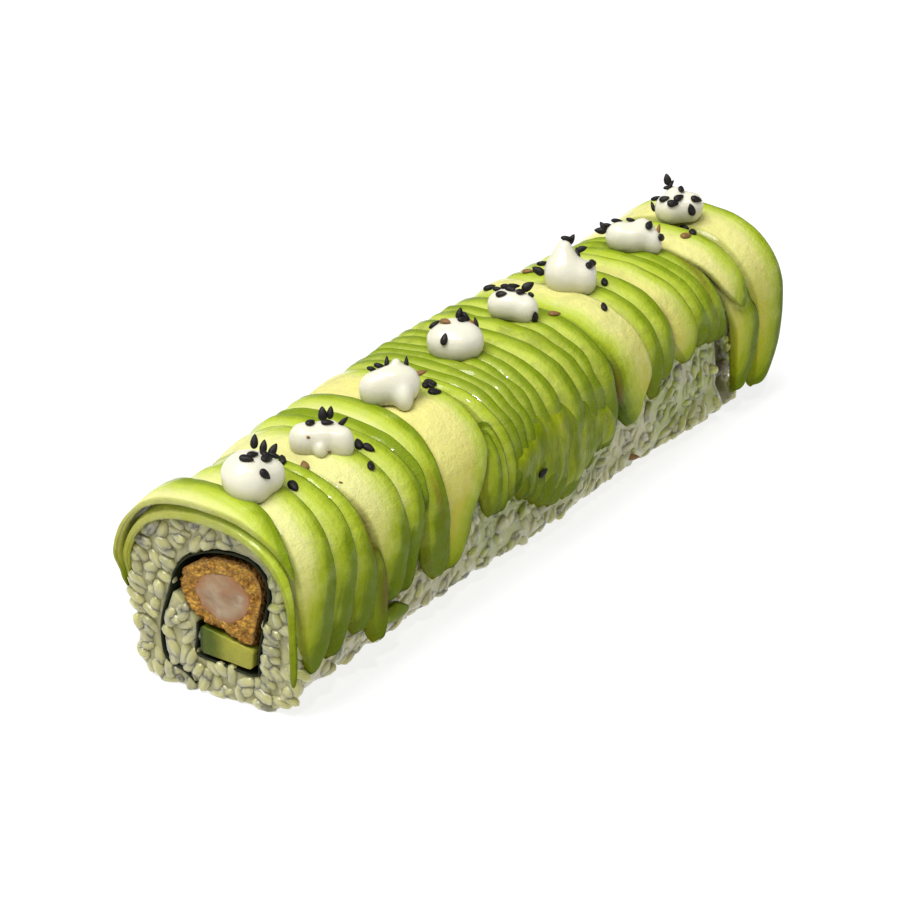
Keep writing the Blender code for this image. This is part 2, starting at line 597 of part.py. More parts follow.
def make_avocado(parts):
    """The slices of the main length, those that lie under them, and the end slice's three."""
    rings, before = [], FIRST_EDGE
    for k, row in enumerate(AVOCADO):
        *edge, tip_x, tip_angle, taper, opening, upper = row
        if upper == LONG:
            upper = FAR_SIDE_REACH + FAR_SIDE_SPREAD * math.sin(2.3 * k)
        last = k == len(AVOCADO) - 1
        rings.append(avocado_slice(
            before, edge, (tip_angle, upper), tip_x, (taper, END_TAPER),
            lean=(0.0 if k == 0 else lean_of(before), 0.0 if last else lean_of(edge)),
            layer=(0.0, UPPER_LAYER if k == 0 else 1.0), opening=opening,
            hang=1.0 if k in HANGING else 0.0))
        before = edge
    add_slices([f"avocado_{k + 1:02d}" for k in range(len(rings))], rings, parts)

    under = [
        avocado_slice(*UNDER_SLICE, layer=(UNDER_LAYER, 1.0), hang=UNDER_HANG),
        avocado_slice(*LOW_STRIP, taper=(LOW_STRIP_TAPER, LOW_STRIP_TAPER)),
    ]
    add_slices(("avocado_under", "avocado_low"), under, parts)

    angle = slice_stations(END_WIDE_REACH)
    sunk = UNDER_LAYER * np.clip(angle / END_TOP_REACH[0], 0.0, 1.0)
    sunk = np.where(angle > 180.0, 0.0, sunk)
    end_slices = [
        avocado_slice(END_TOP_NEAR, END_TOP_FAR, END_TOP_REACH, END_TOP_TIP, (END_TIP_TAPER, END_TAPER),
                      layer=(0.0, UPPER_LAYER)),
        avocado_slice(END_WIDE_NEAR, END_WIDE_FAR, END_WIDE_REACH, END_WIDE_TIP,
                      (END_TIP_TAPER, END_TIP_TAPER), lean=(0.0, LAP_LEAN), layer=(sunk, 1.0), hang=1.0),
        avocado_slice(END_WIDE_FAR, END_LAST_FAR, END_LAST_REACH, END_LAST_TIP,
                      (END_TIP_TAPER, END_TIP_TAPER), lean=(LAP_LEAN, 0.0), hang=1.0),
    ]
    add_slices(("avocado_end_top", "avocado_end_wide", "avocado_end_last"), end_slices, parts)


def dollop_mesh(name, height, lobes):
    """A soft heap of lobes that run into each other, flat where it sits."""
    lobes = np.array(lobes) * MM
    centres, radii = lobes[:, :3], lobes[:, 3]
    core = np.average(centres, axis=0, weights=radii)
    mesh = bpy.data.meshes.new(name)
    body = bmesh.new()
    bmesh.ops.create_uvsphere(body, u_segments=DOLLOP_SEGMENTS, v_segments=DOLLOP_RINGS, radius=1.0)
    direction = np.array([vertex.co for vertex in body.verts])
    near, far = np.zeros(len(direction)), np.full(len(direction), DOLLOP_LIMIT)
    for _ in range(30):
        reach = (near + far) / 2
        point = core + direction * reach[:, None]
        distance = np.linalg.norm(point[:, None, :] - centres, axis=2) / radii
        inside = np.exp(-LOBE_BLEND * (distance - 1.0)).sum(axis=1) > 1.0
        near, far = np.where(inside, reach, near), np.where(inside, far, reach)
    point = core + direction * near[:, None]
    point[:, 2] = np.maximum(point[:, 2] * height / point[:, 2].max(), 0.0)
    for vertex, place in zip(body.verts, point):
        vertex.co = place
    body.to_mesh(mesh)
    body.free()
    mesh.shade_smooth()
    return mesh


def make_dollops(parts):
    for k, ((x, y), height, lobes) in enumerate(DOLLOPS):
        name = f"mayonnaise_{k + 1}"
        mesh = dollop_mesh(name, height * MM, lobes)
        mesh.materials.append(food_material(name, "mayonnaise"))
        dollop = bpy.data.objects.new(name, mesh)
        dollop.location = (x * MM, y * MM, ROLL_HEIGHT + CLEARANCE)
        parts.objects.link(dollop)


def centre_on_origin(*collections):
    for collection in collections:
        for obj in collection.objects:
            obj.location.x -= ROLL_MIDDLE[0]
            obj.location.y -= ROLL_MIDDLE[1]


def main():
    clear_scene()
    parts = new_collection("uramaki_roll")
    cutters = new_collection("knife_cuts")
    make_fillings(parts, cutters)
    make_avocado(parts)
    make_dollops(parts)
    centre_on_origin(parts, cutters)
    bpy.context.view_layer.update()


main()
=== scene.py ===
"""Uramaki roll, dressed: grains of rice, avocado flesh, fried crumb, mayonnaise and sesame.

The roll lies along X with its shown end at -X, as its solids do.  A section of it is drawn in
(u, z): u = -Y is to the right as one looks at the shown end.  The tables are in millimetres.
"""

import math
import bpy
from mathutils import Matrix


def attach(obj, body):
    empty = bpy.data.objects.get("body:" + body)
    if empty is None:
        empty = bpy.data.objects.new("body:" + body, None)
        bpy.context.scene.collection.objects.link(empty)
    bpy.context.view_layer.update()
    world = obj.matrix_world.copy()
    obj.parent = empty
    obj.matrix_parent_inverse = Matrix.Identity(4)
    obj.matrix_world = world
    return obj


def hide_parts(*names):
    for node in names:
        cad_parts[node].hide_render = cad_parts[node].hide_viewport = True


bl_info = {
    "name": "Uramaki Roll",
    "version": (1, 0, 0),
    "blender": (4, 5, 0),
    "location": "View3D > Sidebar > Uramaki",
    "description": "Builds the looks of a sliced uramaki roll with avocado and mayonnaise",
    "category": "Add Mesh",
}

import bmesh
import bpy
import numpy as np
from bpy.props import FloatProperty, FloatVectorProperty, PointerProperty
from mathutils import Vector
from mathutils.geometry import delaunay_2d_cdt

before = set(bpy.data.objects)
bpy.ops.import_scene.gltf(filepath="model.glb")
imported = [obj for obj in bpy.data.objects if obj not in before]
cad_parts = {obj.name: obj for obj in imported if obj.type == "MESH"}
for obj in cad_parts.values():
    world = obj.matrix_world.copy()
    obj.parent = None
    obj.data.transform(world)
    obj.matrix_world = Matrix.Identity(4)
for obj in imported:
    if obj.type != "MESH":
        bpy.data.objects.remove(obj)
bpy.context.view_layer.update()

MM = 0.001

# The roll's section and its cuts
ROLL_WIDTH = 47.7 * MM
ROLL_HEIGHT = 46.7 * MM
RICE_WIDTH = 40.3 * MM
RICE_HEIGHT = 40.7 * MM
FLANK_Z = ROLL_HEIGHT / 2
CLEARANCE = 0.35 * MM
NORI_SLOT = 0.7 * MM             # thickness of the solid sheet, which the rice leaves room for
UPPER_EXPONENT = 2.53
LOWER_EXPONENT = 2.95
RICE_BASE_EXPONENT = 3.6
BASE_SETTLE = 0.6 * MM
ROLL_MIDDLE = (-1.5 * MM, 1.1 * MM)
# Knife planes, x = offset + per_u * u + per_z * z
NEAR_FACE = (-97.5 * MM, 0.105, 0.0)
CUT_NEAR_SIDE = (73.1 * MM, 0.15, -0.20)
CUT_FAR_SIDE = (75.7 * MM, 0.20, -0.24)
FAR_FACE = (95.5 * MM, 0.12, -0.03)
LENGTHS = {"main": (NEAR_FACE, CUT_NEAR_SIDE), "end": (CUT_FAR_SIDE, FAR_FACE)}

# How the slices lie
LAP_STEP = 1.3 * MM
LAP_LEAN = 2.0 * MM
LEAN_RUN_IN = 10.0
LAP_SHARE = 1.74                 # power by which a slice rises from its lapped side to its rim
HANGING_TUCK = 0.05
FAR_SIDE_DRIFT = 2.0
FAR_SIDE_WAVE = 18.0
EDGE_SMOOTHING = (-12.0, -6.0, 0.0, 6.0, 12.0)
OPENING_RAMP = (25.0, 50.0)
END_TAPER = 14.0
TIP_LENGTHENING, TIP_POINTING = 1.6, 1.1
BLUNT_POINTING, END_POINTING = 0.6, 0.8
TIP_THINNING = 7.0               # degrees over which a slice thins to its tip
BACK_SWELL_AT = (-97.0, -90.0, -80.0, -72.0, -65.0, -40.0, -15.0, 10.0, 30.0, 45.0, 60.0, 80.0)
BACK_SWELL = (0.5, -1.4, -1.6, -1.4, 0.8, 1.2, 2.2, 2.2, 1.6, 0.8, -0.6, 0.0)
BACK_SWELL_RAMP = (104.0, 128.0)
TOP, SHOULDER, FLANK = 90.0, 30.0, 0.0
LONG = 999.0
# Each row: far edge at top, shoulder and flank; tip x, tip angle, taper; opening; upper end
AVOCADO = (
    (-91.0, -96.3, -97.2, -97.8, 24, 30, 0.0, 190),
    (-82.5, -85.0, -87.0, -93.0, -24, 24, 0.0, LONG),
    (-77.5, -77.8, -79.5, -86.0, -21, 24, 0.0, LONG),
    (-75.0, -73.6, -72.2, -77.0, -17, 16, 0.0, LONG),
    (-75.0, -71.2, -69.2, -70.6, -31, 12, 0.0, 17),
    (-61.5, -60.3, -60.8, -66.0, -11, 14, 0.4, LONG),
    (-55.5, -53.6, -55.2, -61.3, -11, 20, 0.0, LONG),
    (-51.5, -50.8, -53.4, -52.8, 17, 20, 0.0, LONG),
    (-43.0, -46.0, -46.8, -48.5, -17, 14, 0.0, LONG),
    (-28.0, -28.8, -33.0, -44.0, -17, 30, 0.0, LONG),
    (-28.0, -26.6, -26.2, -28.3, -4, 9, 1.0, 42),
    (-28.0, -24.6, -23.9, -25.2, -5, 9, 0.0, 46),
    (-25.6, -21.5, -20.6, -21.9, -3, 10, 0.0, 118),
    (-21.8, -18.9, -17.8, -19.0, -2, 10, 0.0, LONG),
    (-18.4, -15.9, -15.0, -16.2, -6, 10, 0.0, LONG),
    (-15.4, -12.9, -12.2, -13.4, -8, 10, 0.0, LONG),
    (-12.0, -9.8, -9.3, -10.6, -13, 12, 0.0, LONG),
    (-8.3, -6.0, -5.5, -7.2, -19, 12, 0.0, LONG),
    (-4.0, -1.0, -0.6, -3.0, -24, 14, 0.0, LONG),
    (2.2, 6.6, 7.2, 3.6, -27, 14, 0.0, LONG),
    (8.2, 11.2, 11.8, 10.0, -14, 12, 0.0, LONG),
    (12.0, 15.0, 15.6, 14.0, -8, 12, 0.0, LONG),
    (18.6, 20.4, 20.3, 18.4, -9, 10, 0.0, LONG),
    (31.0, 35.5, 36.2, 29.0, -6, 12, 2.2, LONG),
    (37.4, 41.0, 41.2, 39.6, -2, 10, 0.0, LONG),
    (45.0, 46.9, 46.3, 44.0, 1, 10, 0.0, LONG),
    (52.5, 57.0, 58.4, 54.0, 2, 14, 0.9, LONG),
    (57.5, 61.8, 63.4, 61.2, 5, 12, 0.0, LONG),
    (61.2, 65.9, 67.9, 66.0, 3, 12, 0.0, LONG),
    (64.6, 69.4, 71.2, 70.0, 2, 12, 0.0, LONG),
)
HANGING = (0, 4)
FIRST_EDGE = (-99.6, -98.8, -98.4, -102.0)
FAR_SIDE_REACH = 186.0
FAR_SIDE_SPREAD, FAR_SIDE_TURN = 8.0, 2.3
UNDER_SLICE = ((-99.0, -99.3, -98.8, -101.2), (-94.6, -97.2, -97.7, -95.0), (-27, 187))
UNDER_HANG = 0.5
LOW_STRIP = ((-68.6, -68.6, -68.6), (-60.2, -60.2, -60.2), (-30, -14))
LOW_STRIP_TAPER = 5.0
UNDER_LAYER = 0.56
UPPER_LAYER = 0.36
END_TOP_NEAR = (65.2, 72.6, 77.0)
END_TOP_FAR = (79.0, 81.6, 82.0)
END_WIDE_NEAR = (66.2, 73.8, 76.9)
END_WIDE_FAR = (83.4, 84.0, 88.0)
END_LAST_FAR = (96.2, 97.2, 98.6)
END_TOP_REACH = (12, 170)
END_WIDE_REACH = (-35, 212)
END_LAST_REACH = (-44, 221)
END_TOP_TIP, END_WIDE_TIP, END_LAST_TIP = 79.5, 78.6, 88.4
END_TIP_TAPER, END_TOP_TAPER = 34.0, 13.0

# Look of each slice: how green it is throughout (-1 to 1), how golden its pale side, how
# bruised, and how wavy its rim, mm
SLICE_LOOKS = {
    1: (0.42, 0.2, 0.0, 0.15), 2: (0.0, 0.1, 0.0, 0.1), 3: (0.08, 0.1, 0.0, 0.1),
    4: (0.0, 0.3, 0.0, 0.12), 5: (-0.1, 0.6, 0.3, 0.2), 6: (0.0, 0.2, 0.0, 0.15),
    7: (0.15, 0.1, 0.0, 0.15), 8: (0.6, 0.0, 0.1, 0.2), 9: (0.32, 0.1, 0.1, 0.35),
    10: (-0.12, 0.85, 0.05, 0.15), 11: (0.0, 0.7, 0.1, 0.2), 12: (-0.1, 0.9, 0.15, 0.2),
    13: (-0.05, 0.9, 0.25, 0.25), 24: (0.18, 0.6, 0.2, 0.15), 25: (0.3, 0.1, 0.35, 0.3),
    26: (0.4, 0.1, 0.4, 0.3), 27: (-0.1, 0.9, 0.3, 0.3), 28: (0.2, 0.2, 0.15, 0.25),
    29: (0.3, 0.1, 0.15, 0.25), 30: (0.25, 0.2, 0.2, 0.2),
}
THIN_SLICE_LOOK = (0.42, 0.15, 0.8, 0.6)      # the bruised ones between
REVERSED_SLICE = 24                            # its dark side is the one nearer the shown end
# Where the flesh is dark brown, partly browned and partly painted shade in the gaps between slices:
# x, girth angle, half widths in mm and degrees, strength
BROWNED_AND_SHADED = (
    (-72.6, 26.0, 1.3, 13.0, 1.1), (-70.5, -4.0, 0.9, 9.0, 0.6), (-32.4, -8.0, 1.2, 9.0, 0.7),
    (-49.2, 22.0, 0.9, 16.0, 0.5), (22.6, 2.0, 1.0, 24.0, 0.9), (47.4, 28.0, 0.7, 17.0, 0.8),
    (-72.0, 86.0, 1.6, 8.0, 0.25), (66.2, 52.0, 0.9, 34.0, 0.5),
)

# Filling outlines in (u, z), mm
NORI_COURSE = (
    (-4.3, 16.6), (-4.5, 13.0), (-4.8, 9.0), (-1.0, 8.3), (4.0, 7.9), (9.9, 7.9), (10.4, 12.0),
    (11.3, 17.5), (12.5, 23.5), (13.3, 27.5), (12.2, 32.0), (8.4, 34.7), (1.5, 34.6),
    (-5.2, 32.0), (-9.2, 27.8), (-10.9, 22.2), (-13.0, 15.6), (-13.4, 10.0), (-12.3, 5.6),
    (-8.0, 3.8), (-5.2, 1.6),
)
COURSE_SAMPLES = 41
POCKET_TOP = 29
POCKET_LID = ((-9.2, 21.2), (-7.4, 19.6), (-5.6, 17.7))
CUCUMBER_CORNERS = ((-3.7, 16.2), (-3.8, 9.7), (8.9, 8.9), (9.4, 13.7))
CRUMB_OUTLINE = (
    (-8.0, 26.8), (-5.0, 30.6), (-1.4, 32.4), (1.3, 33.4), (4.9, 33.5), (8.6, 33.2), (11.0, 31.2),
    (11.9, 27.9), (11.3, 23.6), (10.4, 20.0), (9.6, 16.4), (8.8, 14.4), (4.6, 15.5), (1.2, 16.3),
    (-1.7, 16.9), (-4.2, 18.0), (-6.6, 20.3), (-7.9, 23.4),
)
PRAWN_CENTRE = (2.3, 24.4)
PRAWN_HALF_SIZE = (6.5, 5.9)

# Rice foot
SLUMP_AT = (-108.0, -94.0, -76.0, -30.0, -15.0, 45.0, 58.0, 72.0)
SLUMP = (1.2, 0.4, 0.0, 0.8, 2.0, 1.7, 3.6, 4.2)
SLUMP_FAR_SIDE = 2.6 * MM
SLUMP_HEIGHTS = (4.0 * MM, 10.0 * MM)
HEEL_RUN_IN = (70.0 * MM, 79.0 * MM)
HEEL_HALF_WIDTH = 8.5 * MM
HEEL_SLOPE = 0.88

# Mayonnaise: centre (x, y), height, lobes (to the right, forwards, up, radius) as one looks at
# the shown side
LOOK_RIGHT, LOOK_FORWARD = (0.574, -0.819), (-0.819, -0.574)
DOLLOPS = (
    ((-88.6, -3.0), 7.2, (
        (0.0, 0.3, 3.2, 5.3), (4.6, -0.2, 3.2, 2.7), (0.5, 2.0, 2.5, 3.9), (0.0, -0.8, 5.0, 2.6))),
    ((-66.2, -4.9), 5.0, (
        (-3.8, 0.0, 2.1, 3.3), (0.0, -0.6, 2.1, 3.1), (3.8, 0.0, 1.8, 2.7), (-0.3, 3.0, 1.3, 1.15),
        (1.6, -1.6, 3.6, 1.6))),
    ((-38.8, -2.5), 8.2, (
        (-3.6, 0.8, 2.2, 3.2), (0.0, 0.0, 2.9, 3.7), (3.2, -0.8, 2.9, 3.2), (1.1, -1.0, 5.2, 1.5),
        (1.1, -1.2, 6.9, 0.85), (2.7, 2.6, 1.6, 1.9), (3.0, 3.9, 1.2, 1.4))),
    ((-10.7, -0.1), 6.6, (
        (-2.5, 0.8, 2.7, 4.2), (2.0, 0.6, 2.7, 4.2), (-0.6, -0.8, 4.8, 2.4), (0.0, 2.6, 2.0, 2.8))),
    ((11.8, -0.2), 6.0, (
        (-2.9, -0.4, 2.6, 2.9), (-0.2, 0.0, 3.0, 3.3), (2.7, 1.2, 2.2, 2.9),
        (-2.0, -1.0, 4.4, 1.6))),
    ((33.8, -1.2), 10.6, (
        (-1.6, 1.2, 2.8, 4.3), (2.8, 1.3, 2.3, 3.5), (-1.2, 0.0, 5.2, 3.0), (-1.4, -0.4, 7.4, 2.2),
        (-1.3, -0.6, 9.2, 1.45), (4.2, -0.8, 3.4, 1.6))),
    ((61.6, -1.4), 6.6, (
        (-3.3, 0.0, 2.8, 3.3), (0.0, 0.3, 2.5, 3.1), (2.4, -0.6, 3.4, 3.0), (4.7, 1.0, 1.8, 2.3),
        (2.2, -1.0, 5.2, 1.4))),
    ((84.5, -1.1), 7.2, (
        (-3.0, 1.2, 2.7, 3.5), (2.3, 0.2, 3.0, 3.2), (-1.6, -0.6, 5.4, 2.0), (0.2, 0.4, 2.6, 3.0))),
)
DOLLOP_SHARPNESS = 4.0           # how quickly a lobe's field falls off
DOLLOP_REACH = 20 * MM

# Sesame: x, y, z in mm; the way a seed points, its rise and its roll in degrees; which kind
SEEDS = (
    (-83.4, -3.1, 54.9, 26, 63, -8, 0), (-82.6, -4.8, 53.9, 18, 60, -15, 0),
    (-87.1, -5.6, 54.3, -19, -7, -14, 0), (-89, -5.5, 54.1, -68, -6, -17, 0),
    (-84.4, -6.6, 53.4, -118, -7, 26, 0), (-81.9, -6.7, 53.4, -14, 51, -42, 0),
    (-82.2, -7.2, 52.4, -65, -17, 32, 0), (-85.2, -7.7, 53.2, -5, -13, -24, 0),
    (-74.2, -2.8, 46.9, 43, 12, 8, 0), (-88.5, -9.8, 51.6, -56, -46, -36, 0),
    (-80.2, -10.3, 45.6, -110, -18, -11, 0), (-62.4, -4.4, 53, 45, 65, 9, 0),
    (-61.3, -5.6, 53.2, 20, 63, -14, 0), (-65.6, -3.7, 52.2, 11, -9, -1, 0),
    (-63.8, -6.7, 52.3, -49, -3, -12, 0), (-60.7, -8.4, 51.6, -31, 38, 51, 0),
    (-57.7, -10.1, 45.8, 52, 21, 4, 0), (-57.1, -12.3, 45.3, -81, -19, -18, 0),
    (-61.5, -16.1, 44.1, 39, 16, -23, 0), (-71.9, -6.8, 45.7, 49, 14, 5, 1),
    (-70.2, -14.8, 43.4, -53, -14, -29, 2), (-68.6, -5.4, 50.4, -52, -16, -62, 2),
    (-65.9, -8.8, 46.9, -45, 0, -102, 2), (-38.9, 0, 52.9, -63, -16, 24, 0),
    (-37.7, -1.2, 53.5, -63, -16, 24, 0), (-36.6, -2.1, 54.2, 36, 63, 83, 0),
    (-33.6, -5.1, 53.8, 32, 63, -89, 0), (-32.6, -8, 51.8, -47, 15, 13, 1),
    (-27.6, -6.9, 46.8, -109, -3, 2, 0), (-29.3, -9.5, 46.5, -38, -8, -10, 0),
    (-28.2, -6.3, 46.9, 36, -1, -9, 0), (-25.8, -5.8, 46.2, -77, 0, -35, 0),
    (-6.9, -0.4, 54.3, 6, 63, -25, 0), (-6.3, -1.9, 53.5, -87, -46, 37, 0),
    (-8, -2, 53.8, -13, -13, -6, 0), (-11, 0.6, 53.7, -95, 9, -11, 1),
    (-11.2, 3.4, 52.3, -37, 32, 31, 0), (-6, -3, 52.5, -65, -17, 25, 1),
    (-5.5, -3.9, 52.4, 62, 60, -66, 0), (-14.8, -1.8, 51.4, 10, 55, -9, 0),
    (12.9, 2.5, 52.3, -59, -8, 24, 0), (13.7, 1.5, 53.1, 41, -19, 4, 0),
    (14.7, -0.3, 53.2, -55, 1, 24, 0), (13.1, -0.6, 53.3, -102, -1, -6, 0),
    (10.8, 0.4, 52.5, -68, 13, -26, 0), (13.7, -3.1, 52.9, -21, -7, -18, 0),
    (15.7, -4.5, 51.8, 39, -17, -33, 0), (13.3, -7.3, 47.8, -149, 76, 136, 0),
    (20, -8.2, 46.4, -41, -6, -6, 1), (26, 14, 45.2, -68, 22, -1, 0),
    (38.5, 8.5, 46.5, -78, 6, 1, 0), (37.3, 10.8, 46.1, -76, 14, -2, 1),
    (16.2, -3.3, 53.3, -42, 31, -61, 0), (36.6, -1.8, 57.5, -12, 49, -41, 0),
    (35.8, -1.1, 57.9, -58, -6, 25, 0), (37.8, -3.9, 55.2, -48, 17, -62, 0),
    (37, -3.3, 54.2, 61, 60, -67, 0), (36.2, -7.3, 52.6, 7, -3, -34, 0),
    (38.4, -6.8, 52.3, 8, -18, -38, 0), (31.8, 2.8, 52, -53, 3, 31, 0),
    (30.7, 3.4, 50.4, 107, 26, 58, 0), (42.3, -7.6, 46.3, 39, 13, -2, 0),
    (32.2, -13.9, 45.2, 40, 15, -22, 0), (59.1, 4.3, 50.6, 119, 3, 63, 0),
    (59.8, 3.9, 51.5, 92, 45, 49, 0), (60.5, 2.9, 51.8, -60, -9, 19, 0),
    (61.9, 1.5, 52.9, -56, -3, 21, 0), (64.1, -1.3, 52.9, -62, -14, 23, 0),
    (64.3, -6.2, 52.8, 12, 18, -33, 0), (66.8, -7.3, 51, 11, 61, -110, 1),
    (65.6, -9, 49.8, 7, -21, -70, 0), (85.7, 1.8, 55.7, 65, 64, 26, 0),
    (86, 1, 54.4, -21, 48, 48, 0), (85.2, 1.1, 53.9, -52, 6, 17, 0),
    (85.9, -2.1, 54.1, 27, 7, -29, 0), (82.6, 2.9, 51.5, -48, 12, 32, 0),
    (81.5, 3.2, 49.6, 70, 58, 125, 0), (81.1, -0.2, 52.6, -60, 20, -27, 0),
    (81.2, -2.6, 51.9, -45, -2, -49, 0), (83.3, -3, 52.8, -20, 10, -36, 0),
    (86, -6.4, 52.3, -43, -19, -42, 0), (84.1, -6.3, 50.1, 113, 74, 68, 0),
    (84.2, -4.3, 44.7, -82, 15, -69, 0), (80.1, -9.2, 46.4, 29, 1, -14, 0),
    (76.6, -9.3, 46.6, -19, -3, -14, 1), (-9.5, -25, 22.8, -17, 33, -91, 0),
    (36.2, -20.6, 6.3, -41, -4, -104, 1),
)
SEED_KINDS = ((1.0, 0.0), (1.0, 1.0), (0.3, 1.0))    # size and tint: black seed, brown seed, fleck
SEED_WIDTH, SEED_DEPTH = 0.60, 0.38                 # as shares of its length


# Section shapes and noise ----------------------------------------------------------------

LATTICE_SIZE = 32                # values along each side of the noise's lattice, which repeats


def signed_power(values, exponent):
    """A power that keeps the sign."""
    return np.sign(values) * np.abs(values) ** exponent


def plane_x(plane, u, z):
    """x of a knife plane over the section point (u, z)."""
    offset, per_u, per_z = plane
    return offset + per_u * u + per_z * z


def smooth_course(points, samples, closed=False):
    """Catmull-Rom curve through section points given in mm, as metres."""
    knots = np.array(points, dtype=float) * MM
    if closed:
        knots = np.vstack((knots[-1], knots, knots[0], knots[1]))
    else:
        knots = np.vstack((2 * knots[0] - knots[1], knots, 2 * knots[-1] - knots[-2]))
    spans = len(knots) - 3
    at = np.linspace(0.0, spans, samples, endpoint=not closed)
    index = np.minimum(at.astype(int), spans - 1)
    f = (at - index)[:, None]
    p0, p1, p2, p3 = (knots[index + k] for k in range(4))
    return 0.5 * (2 * p1 + (p2 - p0) * f + (2 * p0 - 5 * p1 + 4 * p2 - p3) * f ** 2
                  + (3 * p1 - p0 - 3 * p2 + p3) * f ** 3)


def offset_course(course, distance):
    """The course moved sideways: a positive distance is to the right of its direction."""
    ahead = unit(np.gradient(course, axis=0))
    return course + distance * np.stack((ahead[:, 1], -ahead[:, 0]), axis=1)


def chamber_outline():
    """What the rice is wound round: the filling, and the slot that the nori winds out through."""
    course = smooth_course(NORI_COURSE, COURSE_SAMPLES)
    stand_off = NORI_SLOT / 2 + CLEARANCE
    outside = offset_course(course, stand_off)
    inside = offset_course(course, -stand_off)
    return np.vstack((inside[:POCKET_TOP:-1], np.array(POCKET_LID) * MM, outside))


def rice_outline(angles, x):
    """The rice's outer face at x: a superellipse, squarer below its flanks, with its foot."""
    cosine, sine = np.cos(angles), np.sin(angles)
    above = sine >= 0
    exponent = np.where(above, 2 / UPPER_EXPONENT, 2 / RICE_BASE_EXPONENT)
    rise = np.where(above, RICE_HEIGHT - FLANK_Z, FLANK_Z + BASE_SETTLE)
    u = RICE_WIDTH / 2 * signed_power(cosine, exponent)
    z = np.maximum(FLANK_Z + rise * signed_power(sine, exponent), 0.0)
    full, gone = SLUMP_HEIGHTS
    weight = np.clip((gone - z) / (gone - full), 0.0, 1.0)
    shown_side = np.interp(x, np.array(SLUMP_AT) * MM, np.array(SLUMP) * MM)
    u = u + weight * np.where(u > 0.0, shown_side, -SLUMP_FAR_SIDE)
    heel = np.minimum(np.abs(u), HEEL_HALF_WIDTH + HEEL_SLOPE * z) * np.sign(u)
    return u + (heel - u) * np.interp(x, HEEL_RUN_IN, (0.0, 1.0)), z


def rice_half_width(z):
    """How far from the middle the rice reaches at height z, at most the flanks'."""
    share = np.clip((FLANK_Z - z) / (FLANK_Z + BASE_SETTLE), 0.0, 1.0)
    return RICE_WIDTH / 2 * (1.0 - share ** RICE_BASE_EXPONENT) ** (1.0 / RICE_BASE_EXPONENT)


def folded_angle(angle):
    """A girth angle of the far side as its like on the shown side."""
    return np.where(angle > 90.0, 180.0 - angle, angle)


def dressed_outer(angle, hang, x):
    """The dressed surface at girth angles: a superellipse, following the rice in below the
    flanks (hang 0) or hanging straight down (hang 1), and swollen over the far side."""
    folded = folded_angle(angle)
    turn = np.radians(np.maximum(folded, 0.0))
    under = np.radians(np.clip(-folded, 0.0, 90.0))
    tucked = np.cos(under) ** (2 / LOWER_EXPONENT)
    straight = 1.0 - HANGING_TUCK * (under / math.radians(90.0)) ** 2
    u = ROLL_WIDTH / 2 * np.cos(turn) ** (2 / UPPER_EXPONENT)
    u = u * (tucked + (straight - tucked) * hang)
    z = FLANK_Z + (ROLL_HEIGHT - FLANK_Z) * np.sin(turn) ** (2 / UPPER_EXPONENT)
    z = z - FLANK_Z * np.sin(under) ** (2 / LOWER_EXPONENT)
    section = np.stack((np.where(angle > 90.0, -u, u), z), axis=-1)
    amount = np.interp(x, np.array(BACK_SWELL_AT) * MM, np.array(BACK_SWELL) * MM)
    amount = amount * np.interp(angle, BACK_SWELL_RAMP, (0.0, 1.0))
    outward = section - np.array((0.0, FLANK_Z))
    return section + unit(outward) * amount[..., None]


def dressed_inner(angle, hang):
    """The face that lies on the rice, at the same girth angles and heights."""
    folded = folded_angle(angle)
    turn = np.radians(np.maximum(folded, 0.0))
    under = np.radians(np.clip(-folded, 0.0, 90.0))
    low_z = FLANK_Z - FLANK_Z * np.sin(under) ** (2 / LOWER_EXPONENT)
    below = rice_half_width(low_z)
    below = below + (RICE_WIDTH / 2 - below) * hang
    rise = RICE_HEIGHT + CLEARANCE - FLANK_Z
    u = np.where(folded < 0.0, below + CLEARANCE,
                 (RICE_WIDTH / 2 + CLEARANCE) * np.cos(turn) ** (2 / UPPER_EXPONENT))
    z = np.where(folded < 0.0, low_z, FLANK_Z + rise * np.sin(turn) ** (2 / UPPER_EXPONENT))
    return np.stack((np.where(angle > 90.0, -u, u), z), axis=-1)


def place(x, u, z):
    """Roll coordinates as points of the part."""
    x, u, z = np.broadcast_arrays(x, u, z)
    return np.stack((x - ROLL_MIDDLE[0], -u - ROLL_MIDDLE[1], z), axis=-1)


def unplace(points):
    """Points of the part as roll coordinates."""
    return points[:, 0] + ROLL_MIDDLE[0], -points[:, 1] - ROLL_MIDDLE[1], points[:, 2]


def unit(vectors):
    """Vectors scaled to length one; one of no length stays as it is."""
    return vectors / np.maximum(np.linalg.norm(vectors, axis=-1, keepdims=True), 1e-9)


def x_at(length, share, u, z, behind=0.0):
    """x over the section point (u, z) at a share of the way between a length's two cut faces,
    both of them moved inwards by behind."""
    start, end = LENGTHS[length]
    return (plane_x(start, u, z) + behind) * (1 - share) + (plane_x(end, u, z) - behind) * share


def rings_along(line, radius, around):
    """Rings round the X axis, one at each x of the line and with its radius."""
    turn = np.linspace(0.0, 2 * math.pi, around, endpoint=False)
    x = np.broadcast_to(line[:, None], (len(line), around))
    return np.stack((x, radius[:, None] * np.cos(turn), radius[:, None] * np.sin(turn)), axis=-1)


def field(points, size, seed):
    """Smooth noise, -1 to 1: random values on a lattice of the given size, eased between."""
    table = np.random.default_rng(seed).uniform(-1.0, 1.0, (LATTICE_SIZE,) * 3)
    at = points / size
    cell = np.floor(at).astype(int)
    f = at - cell
    f = f * f * (3.0 - 2.0 * f)
    total = 0.0
    for corner in np.ndindex(2, 2, 2):
        index = tuple(((cell + corner) % LATTICE_SIZE)[..., k] for k in range(3))
        weight = np.prod(np.where(corner, f, 1.0 - f), axis=-1)
        total = total + table[index] * weight
    return total


